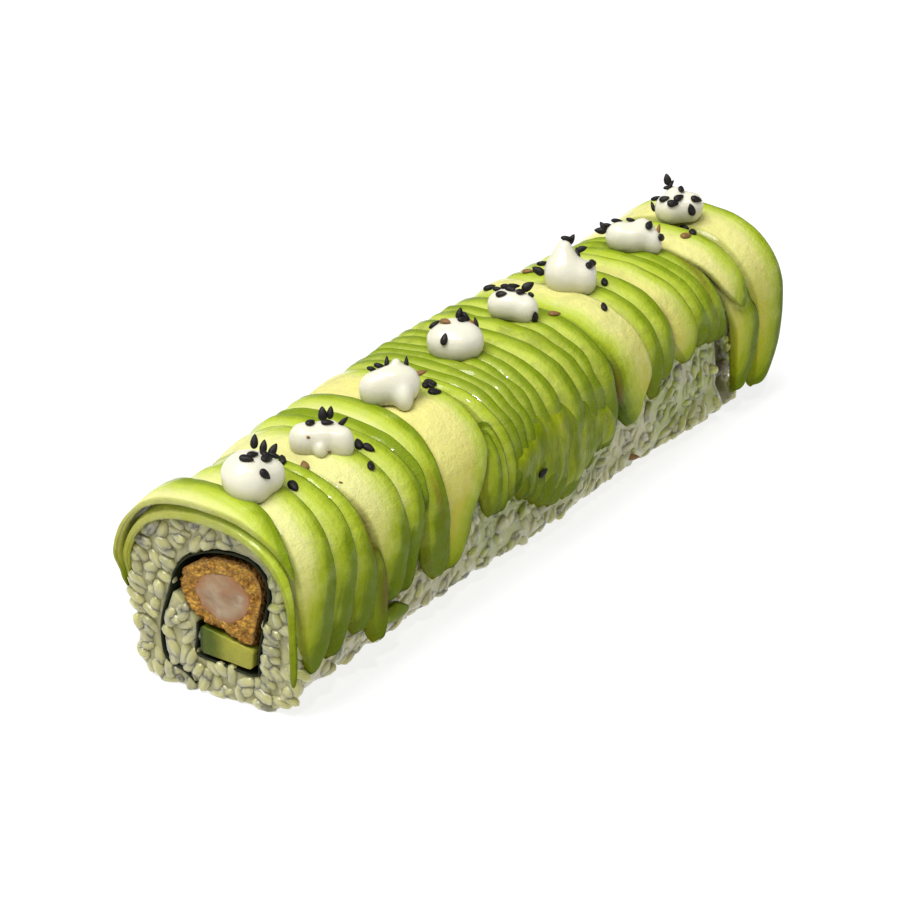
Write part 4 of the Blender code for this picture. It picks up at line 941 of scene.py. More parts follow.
def rice_core(length):
    """Closed body of rice a little inside its real outline.

    The side is the outline carried from knife plane to knife plane, its radius lowered by noise;
    the wall of the chamber is the chamber's outline carried the same way; each cut face is the
    triangulated band between them, pressed in from the knife plane by noise.
    """
    start, end = LENGTHS[length]
    run_length = plane_x(end, 0.0, FLANK_Z) - plane_x(start, 0.0, FLANK_Z)
    stations = max(CORE_LEAST_STATIONS, int(run_length / CORE_STEP))
    turn = np.linspace(0.0, 2 * math.pi, CORE_AROUND, endpoint=False)
    run = np.linspace(0.0, 1.0, stations)
    rims = []
    for t in run:
        u, z = rice_outline(turn, x_at(length, t, 0.0, FLANK_Z))
        inset = np.where(z > FLANK_Z + CORE_TOP, CORE_INSET * CORE_TOP_SHARE, CORE_INSET)
        shrink = 1.0 - inset / np.hypot(u, z - FLANK_Z)
        z = np.where(z > FLANK_Z, FLANK_Z + (z - FLANK_Z) * shrink, np.maximum(z, CORE_FLOOR))
        u = u * shrink
        u = np.where(u < 0.0, np.minimum(u, -np.interp(z, *np.array(CORE_LEAST) * MM)), u)
        rims.append(np.stack((x_at(length, t, u, z, CORE_INSET), u, z), axis=1))
    rims = np.array(rims)
    lumps = fields(rims, ((CORE_LUMPS, CORE_LUMP_SIZE, 71),), CORE_LUMPS) * MM
    towards = unit(np.stack((0 * rims[..., 0], -rims[..., 1], FLANK_Z - rims[..., 2]), axis=-1))
    inland = np.interp(run, (0.0, 0.01, 0.99, 1.0), (0, 1, 1, 0))[:, None, None]
    free = (rims[..., 2] > CORE_FREE)[..., None] * inland
    rims = rims + towards * lumps[..., None] * free
    chamber = chamber_outline()
    walls = np.array([np.column_stack((x_at(length, t, *chamber.T, CORE_INSET), chamber))
                      for t in (0.0, 1.0)])
    vertices = [rims.reshape(-1, 3), walls.reshape(-1, 3)]
    wall_start = len(vertices[0])
    sides = quads_of(stations, len(turn))
    wall_quads = quads_of(2, len(chamber))[:, ::-1] + wall_start
    inner_start = wall_start + 2 * len(chamber)
    triangles = []
    for which, (ring, wall) in enumerate(((0, 0), (stations - 1, 1))):
        rim = rims[ring][:, 1:]
        lattice = np.meshgrid(*(np.arange(low, high, CORE_MESH) for low, high in CORE_BOX))
        lattice = np.stack(lattice, axis=-1).reshape(-1, 2) * MM
        good = inside(lattice, rim) & ~inside(lattice, chamber)
        good &= distance_to(lattice, rim) > CORE_CLEAR
        good &= distance_to(lattice, chamber) > CORE_CLEAR
        lattice = lattice[good]
        points = np.vstack((rim, chamber, lattice))
        n, m = len(rim), len(chamber)
        edges = [(k, (k + 1) % n) for k in range(n)] + [(n + k, n + (k + 1) % m) for k in range(m)]
        scaled = [Vector(p) for p in points * 1000]
        found = delaunay_2d_cdt(scaled, edges, [], 0, 1e-7)
        tris = np.array([face for face in found[2]])
        middle = points[tris].mean(axis=1)
        tris = tris[inside(middle, rim) & ~inside(middle, chamber)]
        lookup = np.concatenate((ring * n + np.arange(n), wall_start + wall * m + np.arange(m),
                                 inner_start + np.arange(len(lattice))))
        inner_start += len(lattice)
        plane, inward = (start, 1.0) if which == 0 else (end, -1.0)
        inner = np.column_stack((plane_x(plane, *lattice.T) + inward * CORE_INSET, lattice))
        inner[:, 0] += inward * CORE_FACE_LUMPS * (1.0 + field(inner, CORE_FACE_LUMP_SIZE, 72))
        vertices.append(inner)
        triangles.append(lookup[tris])
    faces = [np.vstack((sides, wall_quads)), np.vstack(triangles)]
    return place(*np.vstack(vertices).T), faces


def stained(points):
    """How much avocado has smeared the rice: patches by noise under the slices of the shown side,
    more of them towards the far end and under the mashed slices."""
    x, _, z = unplace(points)
    reach = np.interp(x / MM, STAIN_AT, STAIN_REACH)
    patches = fields(points, STAIN_PATCHES, 0.5) - STAIN_LEVEL + STAIN_PULL * reach
    height = np.clip(z / STAIN_HEIGHT, 0.0, STAIN_MOST)
    smeared = np.clip(patches * STAIN_EDGE, 0.0, 1.0) * height * np.sqrt(reach)
    return np.where(points[:, 1] < SHOWN_SIDE_Y, smeared, 0.0)


def gap_shade(points):
    """Painted shade, 1 in the narrow gap between the two lengths: its cut faces painted dark brown.
    """
    x, u, z = unplace(points)
    before = (plane_x(CUT_NEAR_SIDE, u, z) - x) / MM
    past = (x - plane_x(CUT_FAR_SIDE, u, z)) / MM
    return np.clip(GAP_SHADE_FULL - np.maximum(before, past) / GAP_SHADE_REACH, 0.0, 1.0)


def add_grains(name, rng, layers, width, material):
    """One mesh of all the grains of some layers, each a little different in size and tint."""
    centre, direction, up, half_length = (np.concatenate(group) for group in zip(*layers))
    count = len(centre)
    sizes = np.stack([half * rng.uniform(low, high, count) for half, (low, high)
                      in zip((half_length, width / 2, width / 2), GRAIN_SPREAD)], axis=1)
    points, faces = scattered(grain_template(), centre, axes_along(direction, up), sizes)
    stain = np.repeat(stained(centre), points.shape[1])
    bend = np.stack([field(points, GRAIN_BEND_SIZE, 60 + k) for k in range(3)], axis=-1)
    points = points + GRAIN_BEND * bend
    points[..., 2] = np.maximum(points[..., 2], GRAIN_FLOOR)
    tint = np.repeat(rng.uniform(*GRAIN_TINTS, count), points.shape[1])
    points = points.reshape(-1, 3)
    values = {"tint": tint, "stain": stain, "gap_shade": gap_shade(points)}
    new_piece(name, points, faces, material, (), values)


def make_rice(length, material, long, wide):
    """The core of one length of rice, and the grains over its sides and its cut faces.

    Grains are long by wide; each layer lies with its grains' tops level with the real outline or
    a little over or under it, so the more there are the smoother it is.
    """
    rng = np.random.default_rng(GRAIN_SEEDS[length])
    vertices, faces = rice_core(length)
    values = {"tint": fields(vertices, CORE_TINT, 0.5), "stain": stained(vertices),
              "gap_shade": gap_shade(vertices)}
    new_piece(f"rice_core_{length}", vertices, faces, material, (f"rice_{length}",), values,
              patched=True)
    thick = GRAIN_HEIGHT * wide / 2
    layers = []
    for count, sunk, tilt, gap, longer in FLANK_LAYERS:
        count = int(count * FLANK_SHARE[length])
        places = flank_grains(rng, length, count, thick + sunk * MM)
        layers.append(laid_grains(rng, places, tilt, gap * MM, long / 2 * longer, LENGTHS[length]))
    add_grains(f"rice_sides_{length}", rng, layers, wide, material)
    layers = []
    for which in (0, 1):
        hidden = (length, which) in (("main", 1), ("end", 0))
        for count, sunk, tilt, gap, longer, clear in FACE_LAYERS:
            inset = thick + (sunk + HIDDEN_SUNK * hidden) * MM
            from_rim = (HIDDEN_RIM if hidden else SHOWN_RIM) * MM
            places = face_grains(rng, length, which, count, inset, clear * MM, from_rim)
            layers.append(laid_grains(rng, places, tilt, gap * MM, long / 2 * longer))
    add_grains(f"rice_cuts_{length}", rng, layers, wide, material)


# Filling ---------------------------------------------------------------------------------

NORI_RECESS = 0.1 * MM           # how far the sheet stays behind the cut
NORI_AROUND, NORI_GRADING = 170, 0.6
NORI_STATIONS = {"main": 110, "end": 24}
NORI_WANDER, NORI_EDGE = ((0.1 * MM, 0.009, 81),), ((0.6, 0.004, 82),)
RUN_GRADING, RUN_STATIONS = 0.9, 60
CAP_ROUNDING, CAP_START = 0.03, 0.06         # at its edge, and the share of its innermost ring
CAP_DROP = 6 * MM                # how far the side starts behind the cut, for each unit of rounding
CRUMB_AROUND, CRUMB_ACROSS = 240, 18
CRUMB_STATIONS = {"main": 70, "end": 26}
CRUMB_OVERLAP = 0.3              # mm that its bore lies inside the meat's outline
CRUMB_BORE = ((0.35, 0.002, 94),)
CRUMB_GRAINS = ((0.5, 0.0024, 91), (0.5, 0.0010, 92), (0.35, 0.0006, 93))
CRUMB_SHARE = 0.99               # of its outline, so that it lies inside the nori
CRUMB_SUNK, CRUMB_FACE_ROUGH, CRUMB_SIDE_ROUGH = 0.15, 0.75, 0.45    # mm
CRUMB_CALM = 0.4                 # share of its roughness that is left at the bore
PRAWN_AROUND, PRAWN_CAP_RINGS, PRAWN_DOME = 96, 20, 0.35 * MM
PRAWN_OVERLAP = 0.04             # mm that the meat lies inside its own outline
PRAWN_FACE = ((0.28 * MM, 0.0032, 95), (0.1 * MM, 0.0011, 97))
# Ripples of its outline: share of its size, how many, and where they start
PRAWN_RIPPLES = ((0.035, 2, 0.9), (0.03, 3, -0.4), (0.015, 7, 0.0))
CUCUMBER_CORNER, CUCUMBER_BEND, CUCUMBER_SIDE = 0.9, 7, 14   # mm, and points in each
CUCUMBER_CAP_RINGS, CUCUMBER_DOME, CUCUMBER_SHARE = 12, 0.25 * MM, 0.985
CUCUMBER_FACE = ((0.1 * MM, 0.002, 96),)


def capped_run(section, length, dome, cap_rings):
    """Rings of a section carried from cut face to cut face, closed over each by a low dome.

    section is (points, 2).  Over a face the ring shrinks to the section's middle with share r
    while it rises by dome * (1 - r^2), and turns into the side by a small rounding.
    """
    middle = section.mean(axis=0)
    caps = []
    for plane, outward in zip(LENGTHS[length], (-1.0, 1.0)):
        cap = []
        for r in np.linspace(CAP_START, 1.0, cap_rings):
            part = middle + (section - middle) * r * (1.0 - CAP_ROUNDING)
            x = plane_x(plane, *part.T) + outward * dome * (1.0 - r ** 2)
            cap.append(np.column_stack((x, part)))
        x = plane_x(plane, *section.T) - outward * CAP_ROUNDING * CAP_DROP
        caps.append(cap + [np.column_stack((x, section))])
    first, last = caps[0][-1], caps[1][-1]
    side = [first * (1 - t) + last * t for t in graded(RUN_STATIONS, RUN_GRADING)[1:-1]]
    return np.array(caps[0] + side + caps[1][::-1])


def make_nori(length, material, thickness):
    """The sheet: both faces of its course carried along the roll, wandering by noise."""
    course = smooth_course(NORI_COURSE, NORI_AROUND)
    uneven = fields(np.column_stack((0.0 * course[:, 0], course)), NORI_EDGE)
    rings = []
    for t in graded(NORI_STATIONS[length], NORI_GRADING):
        x = x_at(length, t, *course.T, NORI_RECESS * (1.0 + uneven))
        wander = fields(np.column_stack((x, course)), NORI_WANDER)
        outer, inner = (
            np.column_stack((x, offset_course(course, wander[:, None] + side * thickness / 2)))
            for side in (1.0, -1.0))
        rings.append(np.vstack((outer, inner[::-1])))
    rings = np.array(rings)
    rows, columns = rings.shape[:2]
    around = np.arange(columns // 2 - 1)
    strip = np.stack((around, around + 1, columns - 2 - around, columns - 1 - around), axis=1)
    faces = np.vstack((quads_of(rows, columns), strip[:, ::-1], strip + (rows - 1) * columns))
    new_piece(f"nori_sheet_{length}", place(*rings.reshape(-1, 3).T), [faces], material,
              (f"nori_{length}",), None, patched=True)


def bore_line(turn, gap):
    """The meat's outline: an ellipse with a few soft corners, at a gap outside it."""
    ripples = (share * np.sin(count * turn + first) for share, count, first in PRAWN_RIPPLES)
    uneven = sum(ripples, 1.0)
    size = (np.array(PRAWN_HALF_SIZE) * uneven[:, None] + np.reshape(gap, (-1, 1))) * MM
    return np.array(PRAWN_CENTRE) * MM + size * np.stack((np.cos(turn), np.sin(turn)), axis=1)


def make_crumb(length, material):
    """The coat: its outer and inner outlines carried along, with rough annular cut faces.

    One grid closed both ways: round the roll's axis, and through outer side, far face, bore and
    near face.  Coarse and fine noise roughen the faces and the outer side.
    """
    outline = smooth_course(CRUMB_OUTLINE, CRUMB_AROUND, closed=True)
    centre = np.array(PRAWN_CENTRE) * MM
    turn = np.arctan2(outline[:, 1] - centre[1], outline[:, 0] - centre[0])
    bore = bore_line(turn, fields(outline[:, [0, 0, 1]], CRUMB_BORE, -CRUMB_OVERLAP))
    outline = centre + (outline - centre) * CRUMB_SHARE
    across = np.linspace(0.0, 1.0, CRUMB_ACROSS)
    run = graded(CRUMB_STATIONS[length], RUN_GRADING)[1:-1]
    rows = ([(0.0, 1.0 - r) for r in across] + [(t, 0.0) for t in run]
            + [(1.0, r) for r in across] + [(t, 1.0) for t in run[::-1]])
    rings = []
    for t, r in rows:
        line = bore + (outline - bore) * r
        at = np.column_stack((x_at(length, t, *line.T), line))
        rough = fields(at, CRUMB_GRAINS)
        if t in (0.0, 1.0):
            inward = 1.0 if t == 0.0 else -1.0
            calm = min(1.0, CRUMB_CALM + 2.0 * r)
            at[:, 0] += inward * (CRUMB_SUNK + CRUMB_FACE_ROUGH * rough) * MM * calm
        if r == 1.0:
            lowered = CRUMB_SUNK + CRUMB_SIDE_ROUGH * rough[:, None]
            at[:, 1:] -= unit(line - centre) * lowered * MM
        rings.append(at)
    crust = np.repeat([r for _, r in rows], CRUMB_AROUND)
    faces = quads_of(len(rings), CRUMB_AROUND, wrap_rows=True)
    new_piece(f"crumb_coat_{length}", place(*np.vstack(rings).T), [faces], material,
              (f"crumb_{length}",), {"crust": crust}, patched=True)


def make_prawn(length, material):
    """The meat: its outline carried along, domed over each cut, its faces and sides uneven."""
    turn = np.linspace(0.0, 2 * math.pi, PRAWN_AROUND, endpoint=False)
    rings = capped_run(bore_line(turn, -PRAWN_OVERLAP), length, PRAWN_DOME, PRAWN_CAP_RINGS)
    rings[..., 0] += fields(rings, PRAWN_FACE)
    vertices, faces = skin(rings)
    new_piece(f"prawn_meat_{length}", place(*vertices.T), faces, material, (f"prawn_{length}",),
              None)


def make_cucumber(length, material):
    """The stick: its four corners joined by straight sides and rounded, skin on its left."""
    corners = np.array(CUCUMBER_CORNERS)
    bend = np.linspace(0.0, 1.0, CUCUMBER_BEND)[:, None]
    side = np.linspace(0.0, 1.0, CUCUMBER_SIDE)[1:-1, None]
    line = []
    for k in range(len(corners)):
        before, corner, after = corners[k - 1], corners[k], corners[(k + 1) % len(corners)]
        cut_in = corner + unit(before - corner) * CUCUMBER_CORNER
        cut_out = corner + unit(after - corner) * CUCUMBER_CORNER
        stop = after + unit(corner - after) * CUCUMBER_CORNER
        line.append((1 - bend) ** 2 * cut_in + 2 * bend * (1 - bend) * corner + bend ** 2 * cut_out)
        line.append(cut_out + (stop - cut_out) * side)
    section = np.vstack(line) * MM
    section = section.mean(axis=0) + (section - section.mean(axis=0)) * CUCUMBER_SHARE
    rings = capped_run(section, length, CUCUMBER_DOME, CUCUMBER_CAP_RINGS)
    rings[..., 0] += fields(rings, CUCUMBER_FACE)
    vertices, faces = skin(rings)
    left = corners[:2].mean(axis=0)[0] * MM
    peel = np.clip((vertices[:, 1] - left) / MM, 0.0, 20.0)
    new_piece(f"cucumber_stick_{length}", place(*vertices.T), faces, material,
              (f"cucumber_{length}",), {"peel": peel})


# Mayonnaise ------------------------------------------------------------------------------

DOLLOP_AROUND = 84
DOLLOP_RINGS = 46
DOLLOP_HALVINGS = 26
DOLLOP_LUMPS, DOLLOP_LUMP_SIZE, DOLLOP_NOISE_STEP = 0.22 * MM, 0.0042, 0.01
DOLLOP_SETTLE = 4.0 * MM         # height below which it settles on the slices
DOLLOP_UNDER = 0.3               # share that is left of what lies under its base
DOLLOP_LIFT = 0.2 * MM
STEPS_EVENED = 0.6               # share of a lap's step that the surface under it is lowered by


def top_height(y):
    """Height of the dressed roll at a way across near its top, with the laps' steps evened out."""
    turn = np.arccos(np.clip(np.abs(y) / (ROLL_WIDTH / 2), 0.0, 1.0) ** (UPPER_EXPONENT / 2))
    z = FLANK_Z + (ROLL_HEIGHT - FLANK_Z) * np.sin(turn) ** (2 / UPPER_EXPONENT)
    return z - STEPS_EVENED * LAP_STEP


def dollop_surface(centre, height, lobes, seed):
    """A soft heap: from its core, each direction's radius is where the lobes' fields sum to one.

    A lobe's field is exp(-DOLLOP_SHARPNESS * (distance / radius - 1)).  What comes near its base
    settles on the slices under it.
    """
    lobes = np.array(lobes) * MM
    radii = lobes[:, 3]
    flat = lobes[:, :2] @ np.array((LOOK_RIGHT, LOOK_FORWARD))
    centres = np.column_stack((flat, lobes[:, 2]))
    core = np.average(centres, axis=0, weights=radii ** 2)
    polar = np.linspace(0.0, math.pi, DOLLOP_RINGS + 2)[1:-1, None]
    turn = np.linspace(0.0, 2 * math.pi, DOLLOP_AROUND, endpoint=False)
    direction = np.stack((np.sin(polar) * np.cos(turn), np.sin(polar) * np.sin(turn),
                          np.cos(polar) + 0.0 * turn), axis=-1)
    near, far = np.zeros(direction.shape[:2]), np.full(direction.shape[:2], DOLLOP_REACH)
    for _ in range(DOLLOP_HALVINGS):
        reach = (near + far) / 2
        point = core + direction * reach[..., None]
        distance = np.linalg.norm(point[..., None, :] - centres, axis=-1) / radii
        full = np.exp(-DOLLOP_SHARPNESS * (distance - 1.0)).sum(axis=-1) > 1.0
        near, far = np.where(full, reach, near), np.where(full, far, reach)
    point = core + direction * near[..., None]
    point[..., 2] *= height / point[..., 2].max()
    lumps = fields(point + seed * DOLLOP_NOISE_STEP, ((DOLLOP_LUMPS, DOLLOP_LUMP_SIZE, seed),))
    point = point + direction * lumps[..., None]
    x, y = point[..., 0] + centre[0] * MM, point[..., 1] + centre[1] * MM
    floor = top_height(y) - ROLL_HEIGHT - CLEARANCE
    z = point[..., 2]
    share = np.clip(1.0 - z / DOLLOP_SETTLE, 0.0, 1.0)
    settled = (floor + DOLLOP_LIFT) * share * share * (3.0 - 2.0 * share)
    z = np.where(z > 0.0, z, z * DOLLOP_UNDER) + settled
    return np.stack((x - ROLL_MIDDLE[0], y - ROLL_MIDDLE[1], z + ROLL_HEIGHT + CLEARANCE), axis=-1)


def make_mayonnaise(material):
    """The eight dollops, each a piece of its own."""
    for k, (centre, height, lobes) in enumerate(DOLLOPS):
        vertices, faces = skin(dollop_surface(centre, height * MM, lobes, 110 + k))
        new_piece(f"dollop_{k + 1}", vertices, faces, material, (f"mayonnaise_{k + 1}",),
                  None)


# Sesame ----------------------------------------------------------------------------------

SEED_AROUND = 9
SEED_RINGS = 7
SEED_POINT = 1.04                # where its tip is, in half-lengths
SEED_BLUNTNESS, SEED_TAPER = 0.55, 0.3
SEED_SPREAD = ((0.9, 1.08), (0.9, 1.1))      # of length and of width


def seed_template():
    """One seed of unit half-length along X: an ellipse turned round, blunt behind and pointed
    in front, its radius (1 - t^2)^0.55 * (1 - 0.3 t)."""
    along = -np.cos(np.linspace(0.0, math.pi, SEED_RINGS + 2)[1:-1])
    radius = (1.0 - along ** 2) ** SEED_BLUNTNESS * (1.0 - SEED_TAPER * along)
    vertices, faces = skin(rings_along(along, radius, SEED_AROUND))
    vertices[-2:, 0] = (-1.0, SEED_POINT)
    return vertices, faces


def make_sesame(material, length):
    """All seeds in one mesh: each lies at its row's place, turned by its row's three angles."""
    rng = np.random.default_rng(401)
    rows = np.array(SEEDS)
    centre = rows[:, :3] * MM
    heading, rise, roll = np.radians(rows[:, 3:6]).T
    size, tint = np.array(SEED_KINDS)[rows[:, 6].astype(int)].T
    flat = np.cos(rise)
    along = np.stack((flat * np.cos(heading), flat * np.sin(heading), np.sin(rise)), axis=1)
    side = np.stack((-np.sin(heading), np.cos(heading), 0.0 * heading), axis=1)
    up = np.cross(along, side) * np.cos(roll)[:, None] + side * np.sin(roll)[:, None]
    longer, wider = (rng.uniform(*spread, len(rows)) for spread in SEED_SPREAD)
    half = length / 2 * size * longer
    width = half * SEED_WIDTH * wider
    sizes = np.stack((half, width, half * SEED_DEPTH), axis=1)
    points, faces = scattered(seed_template(), centre, axes_along(along, up), sizes)
    tints = np.repeat(tint, points.shape[1])
    new_piece("sesame_seeds", points.reshape(-1, 3), faces, material, (), {"tint": tints})


# Materials -------------------------------------------------------------------------------

TOP_ALONG = 37.5                 # mm along the girth from the flank to the top


def feed(tree, place_in, value):
    """Puts a value or a link into a socket."""
    if isinstance(value, Value):
        tree.links.new(value.socket, place_in)
    else:
        place_in.default_value = value


class Value:
    """A shader value: sums and products of it add their Math nodes."""

    def __init__(self, tree, socket):
        self.tree, self.socket = tree, socket

    def math(self, operation, *operands, clamp=False):
        """A Math node of the given operation."""
        node = self.tree.nodes.new("ShaderNodeMath")
        node.operation, node.use_clamp = operation, clamp
        for place_in, operand in zip(node.inputs, operands):
            feed(self.tree, place_in, operand)
        return Value(self.tree, node.outputs[0])

    def __add__(self, other):
        return self.math("ADD", self, other)

    def __radd__(self, other):
        return self.math("ADD", other, self)

    def __sub__(self, other):
        return self.math("SUBTRACT", self, other)

    def __rsub__(self, other):
        return self.math("SUBTRACT", other, self)

    def __mul__(self, other):
        return self.math("MULTIPLY", self, other)

    def __rmul__(self, other):
        return self.math("MULTIPLY", other, self)

    def clamped(self):
        """Kept between 0 and 1."""
        return self.math("ADD", self, 0.0, clamp=True)

    def absolute(self):
        """Without its sign."""
        return self.math("ABSOLUTE", self)


class Finish:
    """A food's material under construction: the principled surface and what varies it."""

    def __init__(self, name, **constants):
        self.material = bpy.data.materials.new(name)
        self.material.use_nodes = True
        self.tree = self.material.node_tree
        self.surface = self.tree.nodes["Principled BSDF"]
        for key, value in constants.items():
            self.surface.inputs[key.replace("_", " ")].default_value = value
        self.here = self.node("ShaderNodeTexCoord", {}, "Object")

    def node(self, kind, settings, output, **values):
        """Adds a node: its settings, then its sockets' values or links, by name."""
        node = self.tree.nodes.new(kind)
        for key, value in settings.items():
            setattr(node, key, value)
        for key, value in values.items():
            sockets = [place_in for place_in in node.inputs if place_in.enabled]
            key = key.replace("_", " ")
            feed(self.tree, next(place_in for place_in in sockets if place_in.name == key), value)
        outputs = [found for found in node.outputs if found.enabled and found.name == output]
        return Value(self.tree, outputs[0])

    def attribute(self, name, output="Fac"):
        """A value that the mesh holds for each vertex."""
        return self.node("ShaderNodeAttribute", {"attribute_name": name}, output)

    def parts(self, vector):
        """The three numbers of a vector."""
        node = self.tree.nodes.new("ShaderNodeSeparateXYZ")
        feed(self.tree, node.inputs[0], vector)
        return tuple(Value(self.tree, found) for found in node.outputs)

    def vector(self, x, y, z):
        """A vector of three numbers."""
        return self.node("ShaderNodeCombineXYZ", {}, "Vector", X=x, Y=y, Z=z)

    def noise(self, where, scale, detail=3.0, roughness=0.55):
        """Noise of a given scale, 0 to 1."""
        return self.node("ShaderNodeTexNoise", {}, "Fac", Vector=where, Scale=scale, Detail=detail,
                         Roughness=roughness)

    def eased(self, value, low, high):
        """0 at low, 1 at high, smooth between."""
        return self.node("ShaderNodeMapRange", {"interpolation_type": "SMOOTHSTEP"}, "Result",
                         Value=value, From_Min=low, From_Max=high)

    def mixed(self, factor, a, b, blend="MIX"):
        """Colour a to colour b by factor."""
        return self.node("ShaderNodeMix", {"data_type": "RGBA", "blend_type": blend}, "Result",
                         Factor=factor, A=a, B=b)

    def bumped(self, height, distance, strength=1.0):
        """Relief of a given height in metres."""
        return self.node("ShaderNodeBump", {}, "Normal", Height=height, Distance=distance,
                         Strength=strength)

    def finish(self, colour, roughness, normal, **more):
        """Links what varies into the surface."""
        varied = {"Base_Color": colour, "Roughness": roughness, "Normal": normal, **more}
        for key, value in varied.items():
            feed(self.tree, self.surface.inputs[key.replace("_", " ")], value)
        return self.material


def shade(colour, red, green, blue):
    """A colour with its channels scaled."""
    return rgb(colour[0] * red, colour[1] * green, colour[2] * blue)


def rgb(red, green, blue):
    """A colour as a socket takes it."""
    return (red, green, blue, 1.0)


def avocado_finish():
    """Flesh: cream at the stone's side, through yellow green to deep green at the skin, wet.

    flesh holds the share across the slice, the distance from its rim and along it in mm; tone
    holds how green, how golden and how bruised this slice is.
    """
    pale, skin = settings().flesh_colour, settings().skin_colour
    f = Finish("avocado_flesh", Subsurface_Weight=0.12, Subsurface_Scale=0.002,
               Subsurface_Radius=(1.0, 0.9, 0.2), Coat_Roughness=0.1, Specular_IOR_Level=0.06)
    across, from_rim, along = f.parts(f.attribute("flesh", "Vector"))
    green, golden, bruise = f.parts(f.attribute("tone", "Vector"))
    patches = f.noise(f.here, 120.0, 4.0)
    mottle = f.noise(f.here, 480.0, 4.0, 0.6)
    speckle = f.noise(f.here, 2400.0, 3.0, 0.6)
    streaks = f.noise(f.vector(from_rim * 0.9, along * 0.07, green * 7.0), 1.0, 4.0)
    folded = TOP_ALONG - (along - TOP_ALONG).absolute()
    tip = f.eased(folded + (patches - 0.5) * 12.0, 17.0, -8.0) * (1.0 - golden)
    reach = from_rim + (streaks - 0.5) * 3.0 + (patches - 0.5) * 3.8
    reach = reach - green * 3.2 + golden * 0.8 - tip * 5.0
    cream = f.mixed(golden.clamped(), rgb(*pale), shade(pale, 1.0, 0.92, 0.73))
    body = f.mixed(f.eased(reach, 7.6, 3.6), cream, shade(pale, 0.78, 0.88, 0.44))
    body = f.mixed(f.eased(reach, 5.0, 1.8), body, shade(skin, 2.18, 1.87, 6.0))
    body = f.mixed(f.eased(reach, 2.5, -0.3), body, rgb(*skin))
    ridge = (f.eased(across + (mottle - 0.5) * 0.5, 0.72, 0.15) * bruise * (1.0 - tip)).clamped()
    body = f.mixed(ridge * 0.7, body, shade(pale, 0.70, 0.78, 0.38))
    rim = (f.eased(across + (mottle - 0.5) * 0.3, 0.78, 1.0) * bruise).clamped()
    body = f.mixed(rim, body, shade(skin, 0.73, 0.70, 0.6))
    # Dark line along the rim: partly the deep green flesh by the skin, partly painted shade of the
    # seam
    edge = f.eased(from_rim + (mottle - 0.5) * 0.5, 0.6, 0.05)
    body = f.mixed(edge * 0.85, body, shade(skin, 0.45, 0.53, 0.6))
    # Painted shade: dark olive at the lapped side, tucked under the rim of the slice before
    body = f.mixed(f.eased(across, 0.10, 0.0) * 0.55, body, shade(skin, 1.2, 0.94, 2.4))
    # Painted shade: the flesh darker and more saturated low on the flanks, where less light falls
    low = f.eased(folded + (patches - 0.5) * 12.0, 24.0, -7.0)
    body = f.mixed(low, body, rgb(0.66, 0.67, 0.10), "MULTIPLY")
    worn = (f.eased(patches, 0.50, 0.68) * bruise).clamped()
    body = f.mixed(worn * 0.7, body, shade(skin, 1.03, 0.92, 1.0))
    spots = f.eased(f.noise(f.here, 230.0, 5.0, 0.65), 0.66, 0.78) * 0.35
    body = f.mixed(spots, body, rgb(0.20, 0.16, 0.02))
    # Dark brown: browned flesh, and painted shade in the gaps between slices
    body = f.mixed(f.attribute("browned_and_shaded").clamped(), body, rgb(0.14, 0.062, 0.014))
    normal = f.bumped(mottle * 0.6 + patches * 1.2 + speckle * 0.3 + streaks * 0.3, 0.0007, 0.8)
    wet = f.eased(f.noise(f.here, 240.0, 3.0), 0.36, 0.64) * (1.0 - low * 0.9) * 0.75
    return f.finish(body, 0.34 + speckle * 0.22, normal, Coat_Weight=wet)


def mash_finish():
    """Mashed flesh: deep green drawn out in streaks down the flank, yellow where it is thin."""
    skin = settings().skin_colour
    f = Finish("avocado_mash", Subsurface_Weight=0.1, Subsurface_Scale=0.002, Coat_Roughness=0.1,
               Specular_IOR_Level=0.05)
    x, y, z = f.parts(f.here)
    streaks = f.noise(f.vector(x * 260.0, y * 40.0, z * 60.0), 1.0, 5.0, 0.6)
    cloud = f.noise(f.here, 300.0, 4.0, 0.6)
    body = f.mixed(f.eased(streaks, 0.36, 0.60), shade(skin, 0.75, 0.72, 0.6),
                   shade(skin, 1.35, 1.15, 1.3))
    body = f.mixed(f.eased(streaks, 0.56, 0.70) * 0.7, body, shade(skin, 2.1, 1.55, 6.0))
    body = f.mixed(f.eased(cloud, 0.42, 0.25) * 0.6, body, shade(skin, 0.65, 0.66, 0.8))
    wet = f.eased(f.noise(f.here, 240.0, 3.0), 0.42, 0.68) * 0.22
    normal = f.bumped(streaks * 1.4 + cloud * 0.9, 0.0008, 0.9)
    return f.finish(body, 0.25 + cloud * 0.2, normal, Coat_Weight=wet)


def rice_finish():
    """Cooked rice: translucent, greyish with a touch of green, each grain a little different."""
    pale = settings().rice_colour
    f = Finish("rice_grain", Subsurface_Weight=0.9, Subsurface_Scale=0.0045, Coat_Roughness=0.1,
               Coat_Weight=0.5, Specular_IOR_Level=0.2, Transmission_Weight=0.3,
               Sheen_Weight=0.4, Sheen_Roughness=0.45, Subsurface_Radius=(1.0, 1.0, 0.75))
    tint = f.attribute("tint")
    cloud = f.noise(f.here, 420.0, 3.0)
    fine = f.noise(f.here, 1600.0, 3.0)
    stain = f.attribute("stain")
    body = f.mixed(tint, shade(pale, 0.76, 0.75, 0.63), rgb(*pale))
    body = f.mixed(f.eased(cloud, 0.45, 0.8) * 0.3, body, shade(pale, 0.58, 0.55, 0.45))
    smear = (stain * 1.7 * f.eased(cloud, 0.2, 0.5)).clamped()
    body = f.mixed(smear * 0.9, body, rgb(0.34, 0.41, 0.03))
    # Painted shade: dark brown over the rice in the narrow gap between the two lengths
    body = f.mixed(f.attribute("gap_shade").clamped() * 0.9, body, shade(pale, 0.07, 0.035, 0.015))
    normal = f.bumped(cloud + fine * 0.35, 0.00035, 0.7)
    return f.finish(body, 0.22 + fine * 0.2, normal)


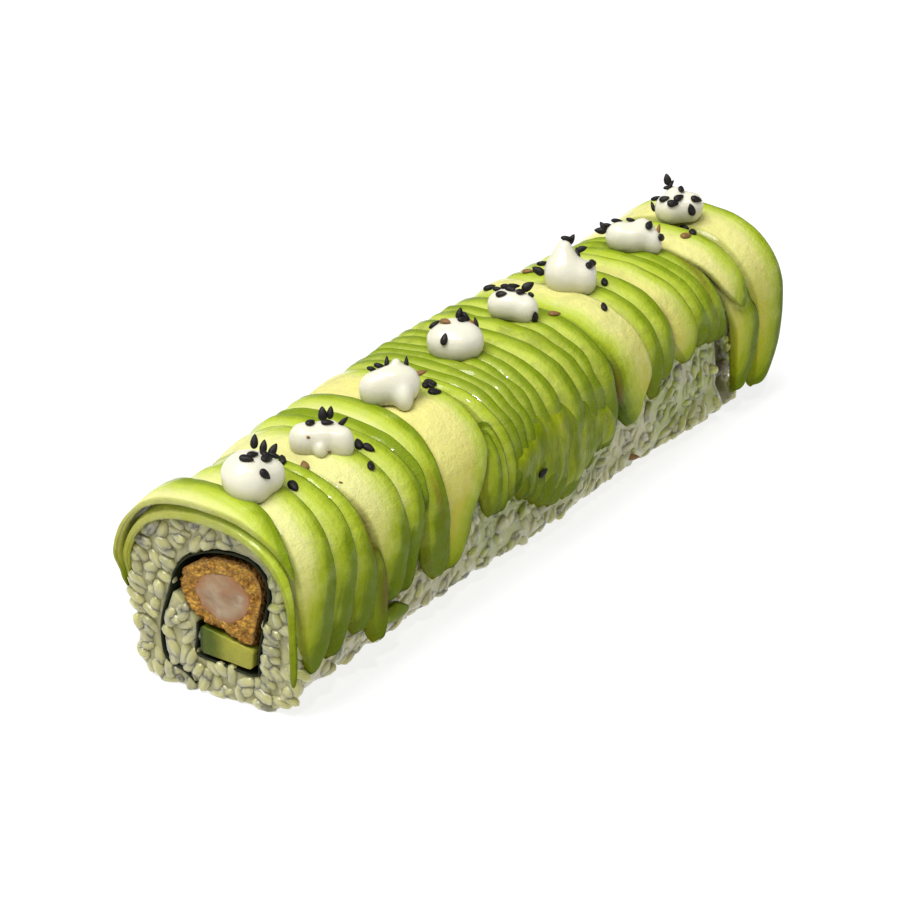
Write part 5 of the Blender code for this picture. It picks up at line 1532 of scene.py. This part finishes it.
def nori_finish():
    """Seaweed: nearly black, dull green, with a pressed, fibrous face."""
    leaf = settings().nori_colour
    f = Finish("nori_sheet", Coat_Roughness=0.3, Specular_IOR_Level=0.12)
    fibres = f.noise(f.here, 700.0, 6.0, 0.7)
    body = f.mixed(fibres, shade(leaf, 0.2, 0.22, 0.3), rgb(*leaf))
    return f.finish(body, 0.35 + fibres * 0.3, f.bumped(fibres, 0.00025, 0.8))


def crumb_finish():
    """Fried crumb: golden grains with painted shade, dark brown, in the hollows between them;
    dark brown at the outer edge, oily.
    """
    golden = settings().crumb_colour
    f = Finish("fried_crumb", Subsurface_Weight=0.05, Subsurface_Scale=0.001, Coat_Roughness=0.2,
               Coat_Weight=0.12, Specular_IOR_Level=0.2)
    coarse = f.noise(f.here, 420.0, 4.0, 0.6)
    grains = f.node("ShaderNodeTexVoronoi", {"feature": "F1"}, "Distance", Vector=f.here,
                    Scale=1250.0)
    fine = f.noise(f.here, 1900.0, 3.0, 0.7)
    edge = f.attribute("crust")
    body = f.mixed(f.eased(coarse, 0.36, 0.60), shade(golden, 0.60, 0.48, 0.33), rgb(*golden))
    # Painted shade: dark brown in the hollows between the grains, where the relief sinks
    body = f.mixed(f.eased(grains, 0.50, 0.85) * 0.5, body, shade(golden, 0.33, 0.25, 0.28))
    body = f.mixed(f.eased(fine, 0.55, 0.72) * 0.6, body, shade(golden, 1.3, 1.64, 2.7))
    outer = f.eased(edge + (coarse - 0.5) * 0.5, 0.80, 1.0)
    body = f.mixed(outer * 0.8, body, shade(golden, 0.23, 0.17, 0.18))
    normal = f.bumped(coarse * 0.8 + fine * 0.5 - grains * 1.2, 0.0008)
    return f.finish(body, 0.4 + fine * 0.3, normal)


def prawn_finish():
    """Cooked prawn: warm white with a pinkish cast and fibres that run across it."""
    meat = settings().prawn_colour
    f = Finish("prawn_meat", Subsurface_Weight=0.45, Subsurface_Scale=0.003,
               Subsurface_Radius=(1.0, 0.55, 0.35), Coat_Roughness=0.12, Coat_Weight=0.3,
               Specular_IOR_Level=0.2)
    x, y, z = f.parts(f.here)
    fibres = f.vector(x * 60.0, y * 170.0 + z * 90.0, z * 420.0 - y * 120.0)
    fibres = f.noise(fibres, 1.0, 4.0, 0.55)
    cloud = f.noise(f.here, 210.0, 3.0)
    across = (y + (PRAWN_CENTRE[0] * MM + ROLL_MIDDLE[1])) * (1.0 / (PRAWN_HALF_SIZE[0] * MM))
    rise = (z - PRAWN_CENTRE[1] * MM) * (1.0 / (PRAWN_HALF_SIZE[1] * MM))
    outer = f.eased(across * across + rise * rise + (cloud - 0.5) * 1.2, 0.25, 1.0)
    body = f.mixed(f.eased(fibres, 0.3, 0.7), shade(meat, 0.74, 0.62, 0.53), rgb(*meat))
    body = f.mixed(f.eased(cloud, 0.50, 0.72) * 0.55, body, shade(meat, 0.78, 0.46, 0.36))
    body = f.mixed(f.eased(cloud, 0.46, 0.28) * 0.6, body, shade(meat, 1.15, 1.35, 1.6))
    body = f.mixed(outer * 0.85, body, shade(meat, 0.86, 0.46, 0.22))
    return f.finish(body, 0.22 + fibres * 0.2, f.bumped(fibres * 0.6 + cloud, 0.0006, 0.8))


def cucumber_finish():
    """Cucumber: pale wet flesh that darkens to its peel on one side, with fine dots."""
    wet = settings().cucumber_colour
    f = Finish("cucumber_flesh", Subsurface_Weight=0.25, Subsurface_Scale=0.002,
               Coat_Roughness=0.08, Coat_Weight=0.15, Specular_IOR_Level=0.1)
    peel = f.attribute("peel")
    cloud = f.noise(f.here, 330.0, 4.0)
    dots = f.eased(f.noise(f.here, 1300.0, 2.0), 0.6, 0.72)
    inner = f.eased(peel + (cloud - 0.5) * 3.0, 3.0, 9.0)
    body = f.mixed(inner, shade(wet, 0.59, 0.64, 0.36), rgb(*wet))
    body = f.mixed(dots * 0.3, body, shade(wet, 1.24, 1.25, 2.5))
    rind = f.eased(peel + (cloud - 0.5) * 1.6, 6.4, 2.6)
    body = f.mixed(rind, body, shade(wet, 0.21, 0.30, 0.11))
    skin = f.eased(peel + (cloud - 0.5) * 0.5, 1.1, 0.4)
    body = f.mixed(skin, body, shade(wet, 0.062, 0.114, 0.083))
    return f.finish(body, 0.16 + cloud * 0.2, f.bumped(cloud + dots * 0.4, 0.0004, 0.7))


def mayonnaise_finish():
    """Mayonnaise: glossy warm white, a little yellow where it is thin and low."""
    white = settings().mayonnaise_colour
    f = Finish("mayonnaise", Subsurface_Weight=0.3, Subsurface_Scale=0.004,
               Subsurface_Radius=(1.0, 0.9, 0.55), Coat_Roughness=0.08, Coat_Weight=0.3,
               Specular_IOR_Level=0.25)
    cloud = f.noise(f.here, 160.0, 3.0)
    height = f.parts(f.here)[2]
    low = f.eased(height, 0.0505, 0.0465)
    body = f.mixed(f.eased(cloud, 0.35, 0.75) * 0.5, rgb(*white),
                   shade(white, 0.97, 0.94, 0.86))
    body = f.mixed(low * 0.5, body, shade(white, 0.78, 0.77, 0.41))
    return f.finish(body, 0.2 + cloud * 0.1, f.bumped(cloud, 0.0005, 0.5))


def sesame_finish():
    """Sesame: black with some brown seeds, faintly ridged; tint tells which."""
    f = Finish("sesame_seed", Coat_Roughness=0.3, Specular_IOR_Level=0.2)
    tint = f.attribute("tint")
    ridges = f.noise(f.here, 1700.0, 4.0, 0.65)
    dark, light = settings().seed_colour, settings().light_seed_colour
    black = f.mixed(ridges, shade(dark, 0.17, 0.2, 0.23), rgb(*dark))
    brown = f.mixed(ridges, shade(light, 0.33, 0.26, 0.2), rgb(*light))
    body = f.mixed(f.eased(tint, 0.45, 0.55), black, brown)
    return f.finish(body, 0.3 + ridges * 0.3, f.bumped(ridges, 0.0002, 0.7))


# Add-on ----------------------------------------------------------------------------------

def colour_setting(name, description, default):
    """A colour that a user may change."""
    return FloatVectorProperty(name=name, description=description, subtype="COLOR", size=3,
                               min=0.0, max=1.0, default=default)


def length_setting(name, description, default):
    """A length that a user may change."""
    return FloatProperty(name=name, description=description, subtype="DISTANCE", unit="LENGTH",
                         min=0.0, default=default)


class RollSettings(bpy.types.PropertyGroup):
    """What a user would change about the roll."""
    grain_length: length_setting("Grain length", "Length of a cooked grain of rice", 6.3 * MM)
    grain_width: length_setting("Grain width", "Width of a cooked grain of rice", 3.1 * MM)
    seed_length: length_setting("Seed length", "Length of a sesame seed", 3.0 * MM)
    nori_thickness: length_setting("Nori thickness", "Thickness of the damp sheet", 0.30 * MM)
    flesh_colour: colour_setting("Flesh", "Avocado at the stone's side", (0.63, 0.63, 0.26))
    skin_colour: colour_setting("Skin side", "Avocado at the skin's side", (0.165, 0.235, 0.005))
    rice_colour: colour_setting("Rice", "The palest grains", (0.60, 0.57, 0.25))
    nori_colour: colour_setting("Nori", "Seaweed's palest fibres", (0.022, 0.028, 0.010))
    crumb_colour: colour_setting("Crumb", "Golden part of the fried coat", (0.52, 0.28, 0.040))
    prawn_colour: colour_setting("Prawn", "Cooked meat", (0.34, 0.245, 0.145))
    cucumber_colour: colour_setting("Cucumber", "Flesh away from the peel", (0.29, 0.28, 0.036))
    mayonnaise_colour: colour_setting("Mayonnaise", "Thick part of a dollop", (0.64, 0.62, 0.51))
    seed_colour: colour_setting("Dark seeds", "Their palest ridges", (0.018, 0.015, 0.013))
    light_seed_colour: colour_setting("Light seeds", "Their palest ridges", (0.30, 0.17, 0.06))


class StageSettings(bpy.types.PropertyGroup):
    """What a user would change about the floor, the lights and the camera."""
    floor_colour: colour_setting("Floor", "Colour of the pale floor", (0.22, 0.22, 0.22))
    floor_glow: FloatProperty(
        name="Floor glow", description="How brightly the floor shines", min=0.0, default=0.8)
    key_power: FloatProperty(
        name="Key light", description="Strength of the large soft light overhead", min=0.0,
        default=3.9)
    fill_power: FloatProperty(
        name="Fill light", description="Power of the light on the shown end", unit="POWER",
        min=0.0, default=0.5)
    glint_power: FloatProperty(
        name="Glint light", description="Power of the small lamp that makes wet places glint",
        unit="POWER", min=0.0, default=2.4)
    surround: FloatProperty(
        name="Surround", description="Strength of the even light all round", default=0.26)
    azimuth: FloatProperty(
        name="Azimuth", description="Where the camera stands round the roll", subtype="ANGLE",
        default=-0.959080691)
    elevation: FloatProperty(
        name="Elevation", description="How high the camera looks down from", subtype="ANGLE",
        default=math.radians(27.0))
    distance: FloatProperty(
        name="Distance", description="From the camera to its aim", unit="LENGTH", default=0.651158)
    lens: FloatProperty(
        name="Lens", description="Focal length", subtype="DISTANCE_CAMERA", default=115.2)


def settings():
    """What the user has chosen for the roll."""
    return bpy.context.scene.uramaki


FLOOR_HALF, FLOOR_DROP = 40.0, 0.0002        # the floor lies just under the roll
WHITE = (1.0, 1.0, 1.0, 1.0)
AIM = Vector((-0.01158, -0.0011, 0.02243))
KEY_SPREAD = math.radians(38.0)
KEY_AT, FILL_AT, GLINT_AT = (-0.38, 0.14, 0.92), (-0.9, 0.05, 0.5), (-0.25, -0.35, 0.9)
FILL_SIZE, GLINT_SIZE = 0.5, 0.05
SENSOR_WIDTH = 36.0
CLIP_START, CLIP_END = 0.01, 100.0


def add_object(context, data):
    """An object of the scene for a mesh, a light or a camera."""
    made = bpy.data.objects.new(data.name, data)
    context.scene.collection.objects.link(made)
    return made


def add_floor(context, colour, glow):
    """A wide pale plane that glows evenly."""
    mesh = bpy.data.meshes.new("floor")
    corners = [(-FLOOR_HALF, -FLOOR_HALF), (FLOOR_HALF, -FLOOR_HALF), (FLOOR_HALF, FLOOR_HALF),
               (-FLOOR_HALF, FLOOR_HALF)]
    mesh.from_pydata([(x, y, -FLOOR_DROP) for x, y in corners], [], [(0, 1, 2, 3)])
    paper = bpy.data.materials.new("floor_paper")
    paper.use_nodes = True
    sockets = paper.node_tree.nodes["Principled BSDF"].inputs
    sockets["Base Color"].default_value = rgb(*colour)
    sockets["Roughness"].default_value = 0.8
    sockets["Emission Color"].default_value = WHITE
    sockets["Emission Strength"].default_value = glow
    mesh.materials.append(paper)
    add_object(context, mesh)


def add_lights(context, chosen):
    """Even light all round, a large soft one overhead, one on the shown end and a small lamp."""
    world = bpy.data.worlds.new("surround")
    world.use_nodes = True
    background = world.node_tree.nodes["Background"].inputs
    background["Color"].default_value = WHITE
    background["Strength"].default_value = chosen.surround
    context.scene.world = world
    sky = bpy.data.lights.new("sky", "SUN")
    sky.energy, sky.angle = chosen.key_power, KEY_SPREAD
    fill = bpy.data.lights.new("fill", "AREA")
    fill.energy, fill.shape, fill.size = chosen.fill_power, "SQUARE", FILL_SIZE
    glint = bpy.data.lights.new("glint", "AREA")
    glint.energy, glint.shape, glint.size = chosen.glint_power, "DISK", GLINT_SIZE
    for light, at in ((sky, KEY_AT), (fill, FILL_AT), (glint, GLINT_AT)):
        lamp = add_object(context, light)
        lamp.location = at
        lamp.rotation_euler = (AIM - Vector(at)).to_track_quat("-Z", "Y").to_euler()


def add_camera(context, chosen):
    """A camera that looks at the roll from the chosen side, height and distance."""
    turn, rise = chosen.azimuth, chosen.elevation
    back = Vector((math.sin(turn) * math.cos(rise), -math.cos(turn) * math.cos(rise),
                   math.sin(rise)))
    lens = bpy.data.cameras.new("camera")
    lens.lens, lens.sensor_width = chosen.lens, SENSOR_WIDTH
    lens.clip_start, lens.clip_end = CLIP_START, CLIP_END
    camera = add_object(context, lens)
    camera.location = AIM + back * chosen.distance
    camera.rotation_euler = back.to_track_quat("Z", "Y").to_euler()
    context.scene.camera = camera


class URAMAKI_OT_stage(bpy.types.Operator):
    """Make the floor, the lights and the camera"""
    bl_idname = "uramaki.stage"
    bl_label = "Stage"

    def execute(self, context):
        chosen = context.scene.uramaki_stage
        add_floor(context, chosen.floor_colour, chosen.floor_glow)
        add_lights(context, chosen)
        add_camera(context, chosen)
        context.scene.view_settings.view_transform = "Standard"
        return {"FINISHED"}


class URAMAKI_OT_nori(bpy.types.Operator):
    """Make the sheet of seaweed in both lengths"""
    bl_idname = "uramaki.nori"
    bl_label = "Nori"

    def execute(self, context):
        material = nori_finish()
        for length in LENGTHS:
            make_nori(length, material, settings().nori_thickness)
        return {"FINISHED"}


class URAMAKI_OT_crumb(bpy.types.Operator):
    """Make the fried coat of the prawn in both lengths"""
    bl_idname = "uramaki.crumb"
    bl_label = "Crumb coat"

    def execute(self, context):
        material = crumb_finish()
        for length in LENGTHS:
            make_crumb(length, material)
        return {"FINISHED"}


class URAMAKI_OT_prawn(bpy.types.Operator):
    """Make the prawn in both lengths"""
    bl_idname = "uramaki.prawn"
    bl_label = "Prawn"

    def execute(self, context):
        material = prawn_finish()
        for length in LENGTHS:
            make_prawn(length, material)
        return {"FINISHED"}


class URAMAKI_OT_cucumber(bpy.types.Operator):
    """Make the strip of cucumber in both lengths"""
    bl_idname = "uramaki.cucumber"
    bl_label = "Cucumber"

    def execute(self, context):
        material = cucumber_finish()
        for length in LENGTHS:
            make_cucumber(length, material)
        return {"FINISHED"}


class URAMAKI_OT_rice(bpy.types.Operator):
    """Make the rice: a core for each length, and the grains over it"""
    bl_idname = "uramaki.rice"
    bl_label = "Rice"

    def execute(self, context):
        material = rice_finish()
        for length in LENGTHS:
            make_rice(length, material, settings().grain_length, settings().grain_width)
        return {"FINISHED"}


class URAMAKI_OT_avocado(bpy.types.Operator):
    """Make the avocado slices of the main length and of the end slice"""
    bl_idname = "uramaki.avocado"
    bl_label = "Avocado"

    def execute(self, context):
        material = avocado_finish()
        make_main_slices(material)
        make_end_slices(material)
        return {"FINISHED"}


class URAMAKI_OT_mash(bpy.types.Operator):
    """Make the mashed flesh over the ends of the thin slices"""
    bl_idname = "uramaki.mash"
    bl_label = "Mashed avocado"

    def execute(self, context):
        make_mash(mash_finish())
        return {"FINISHED"}


class URAMAKI_OT_mayonnaise(bpy.types.Operator):
    """Make the dollops of mayonnaise"""
    bl_idname = "uramaki.mayonnaise"
    bl_label = "Mayonnaise"

    def execute(self, context):
        make_mayonnaise(mayonnaise_finish())
        return {"FINISHED"}


class URAMAKI_OT_sesame(bpy.types.Operator):
    """Make the sesame seeds"""
    bl_idname = "uramaki.sesame"
    bl_label = "Sesame"

    def execute(self, context):
        make_sesame(sesame_finish(), settings().seed_length)
        return {"FINISHED"}


OPERATORS = (
    URAMAKI_OT_stage, URAMAKI_OT_nori, URAMAKI_OT_crumb, URAMAKI_OT_prawn, URAMAKI_OT_cucumber,
    URAMAKI_OT_rice, URAMAKI_OT_avocado, URAMAKI_OT_mash, URAMAKI_OT_mayonnaise, URAMAKI_OT_sesame)


class URAMAKI_PT_panel(bpy.types.Panel):
    """Lists the roll's makers and settings"""
    bl_idname = "URAMAKI_PT_panel"
    bl_label = "Uramaki Roll"
    bl_space_type = "VIEW_3D"
    bl_region_type = "UI"
    bl_category = "Uramaki"

    def draw(self, context):
        """All settings, then a button for each maker."""
        column = self.layout.column()
        for group in (context.scene.uramaki, context.scene.uramaki_stage):
            for key in type(group).__annotations__:
                column.prop(group, key)
        for operator in OPERATORS:
            column.operator(operator.bl_idname)


def register():
    """Makes the operators, the panel and the settings known to Blender."""
    for cls in (RollSettings, StageSettings, *OPERATORS, URAMAKI_PT_panel):
        bpy.utils.register_class(cls)
    bpy.types.Scene.uramaki = PointerProperty(type=RollSettings)
    bpy.types.Scene.uramaki_stage = PointerProperty(type=StageSettings)


def unregister():
    """Takes back what register does."""
    del bpy.types.Scene.uramaki, bpy.types.Scene.uramaki_stage
    for cls in (URAMAKI_PT_panel, *OPERATORS[::-1], StageSettings, RollSettings):
        bpy.utils.unregister_class(cls)


def main():
    """Builds the whole roll and its stage."""
    register()
    for operator in OPERATORS:
        group, name = operator.bl_idname.split(".")
        getattr(getattr(bpy.ops, group), name)()


if __name__ == "__main__":
    main()
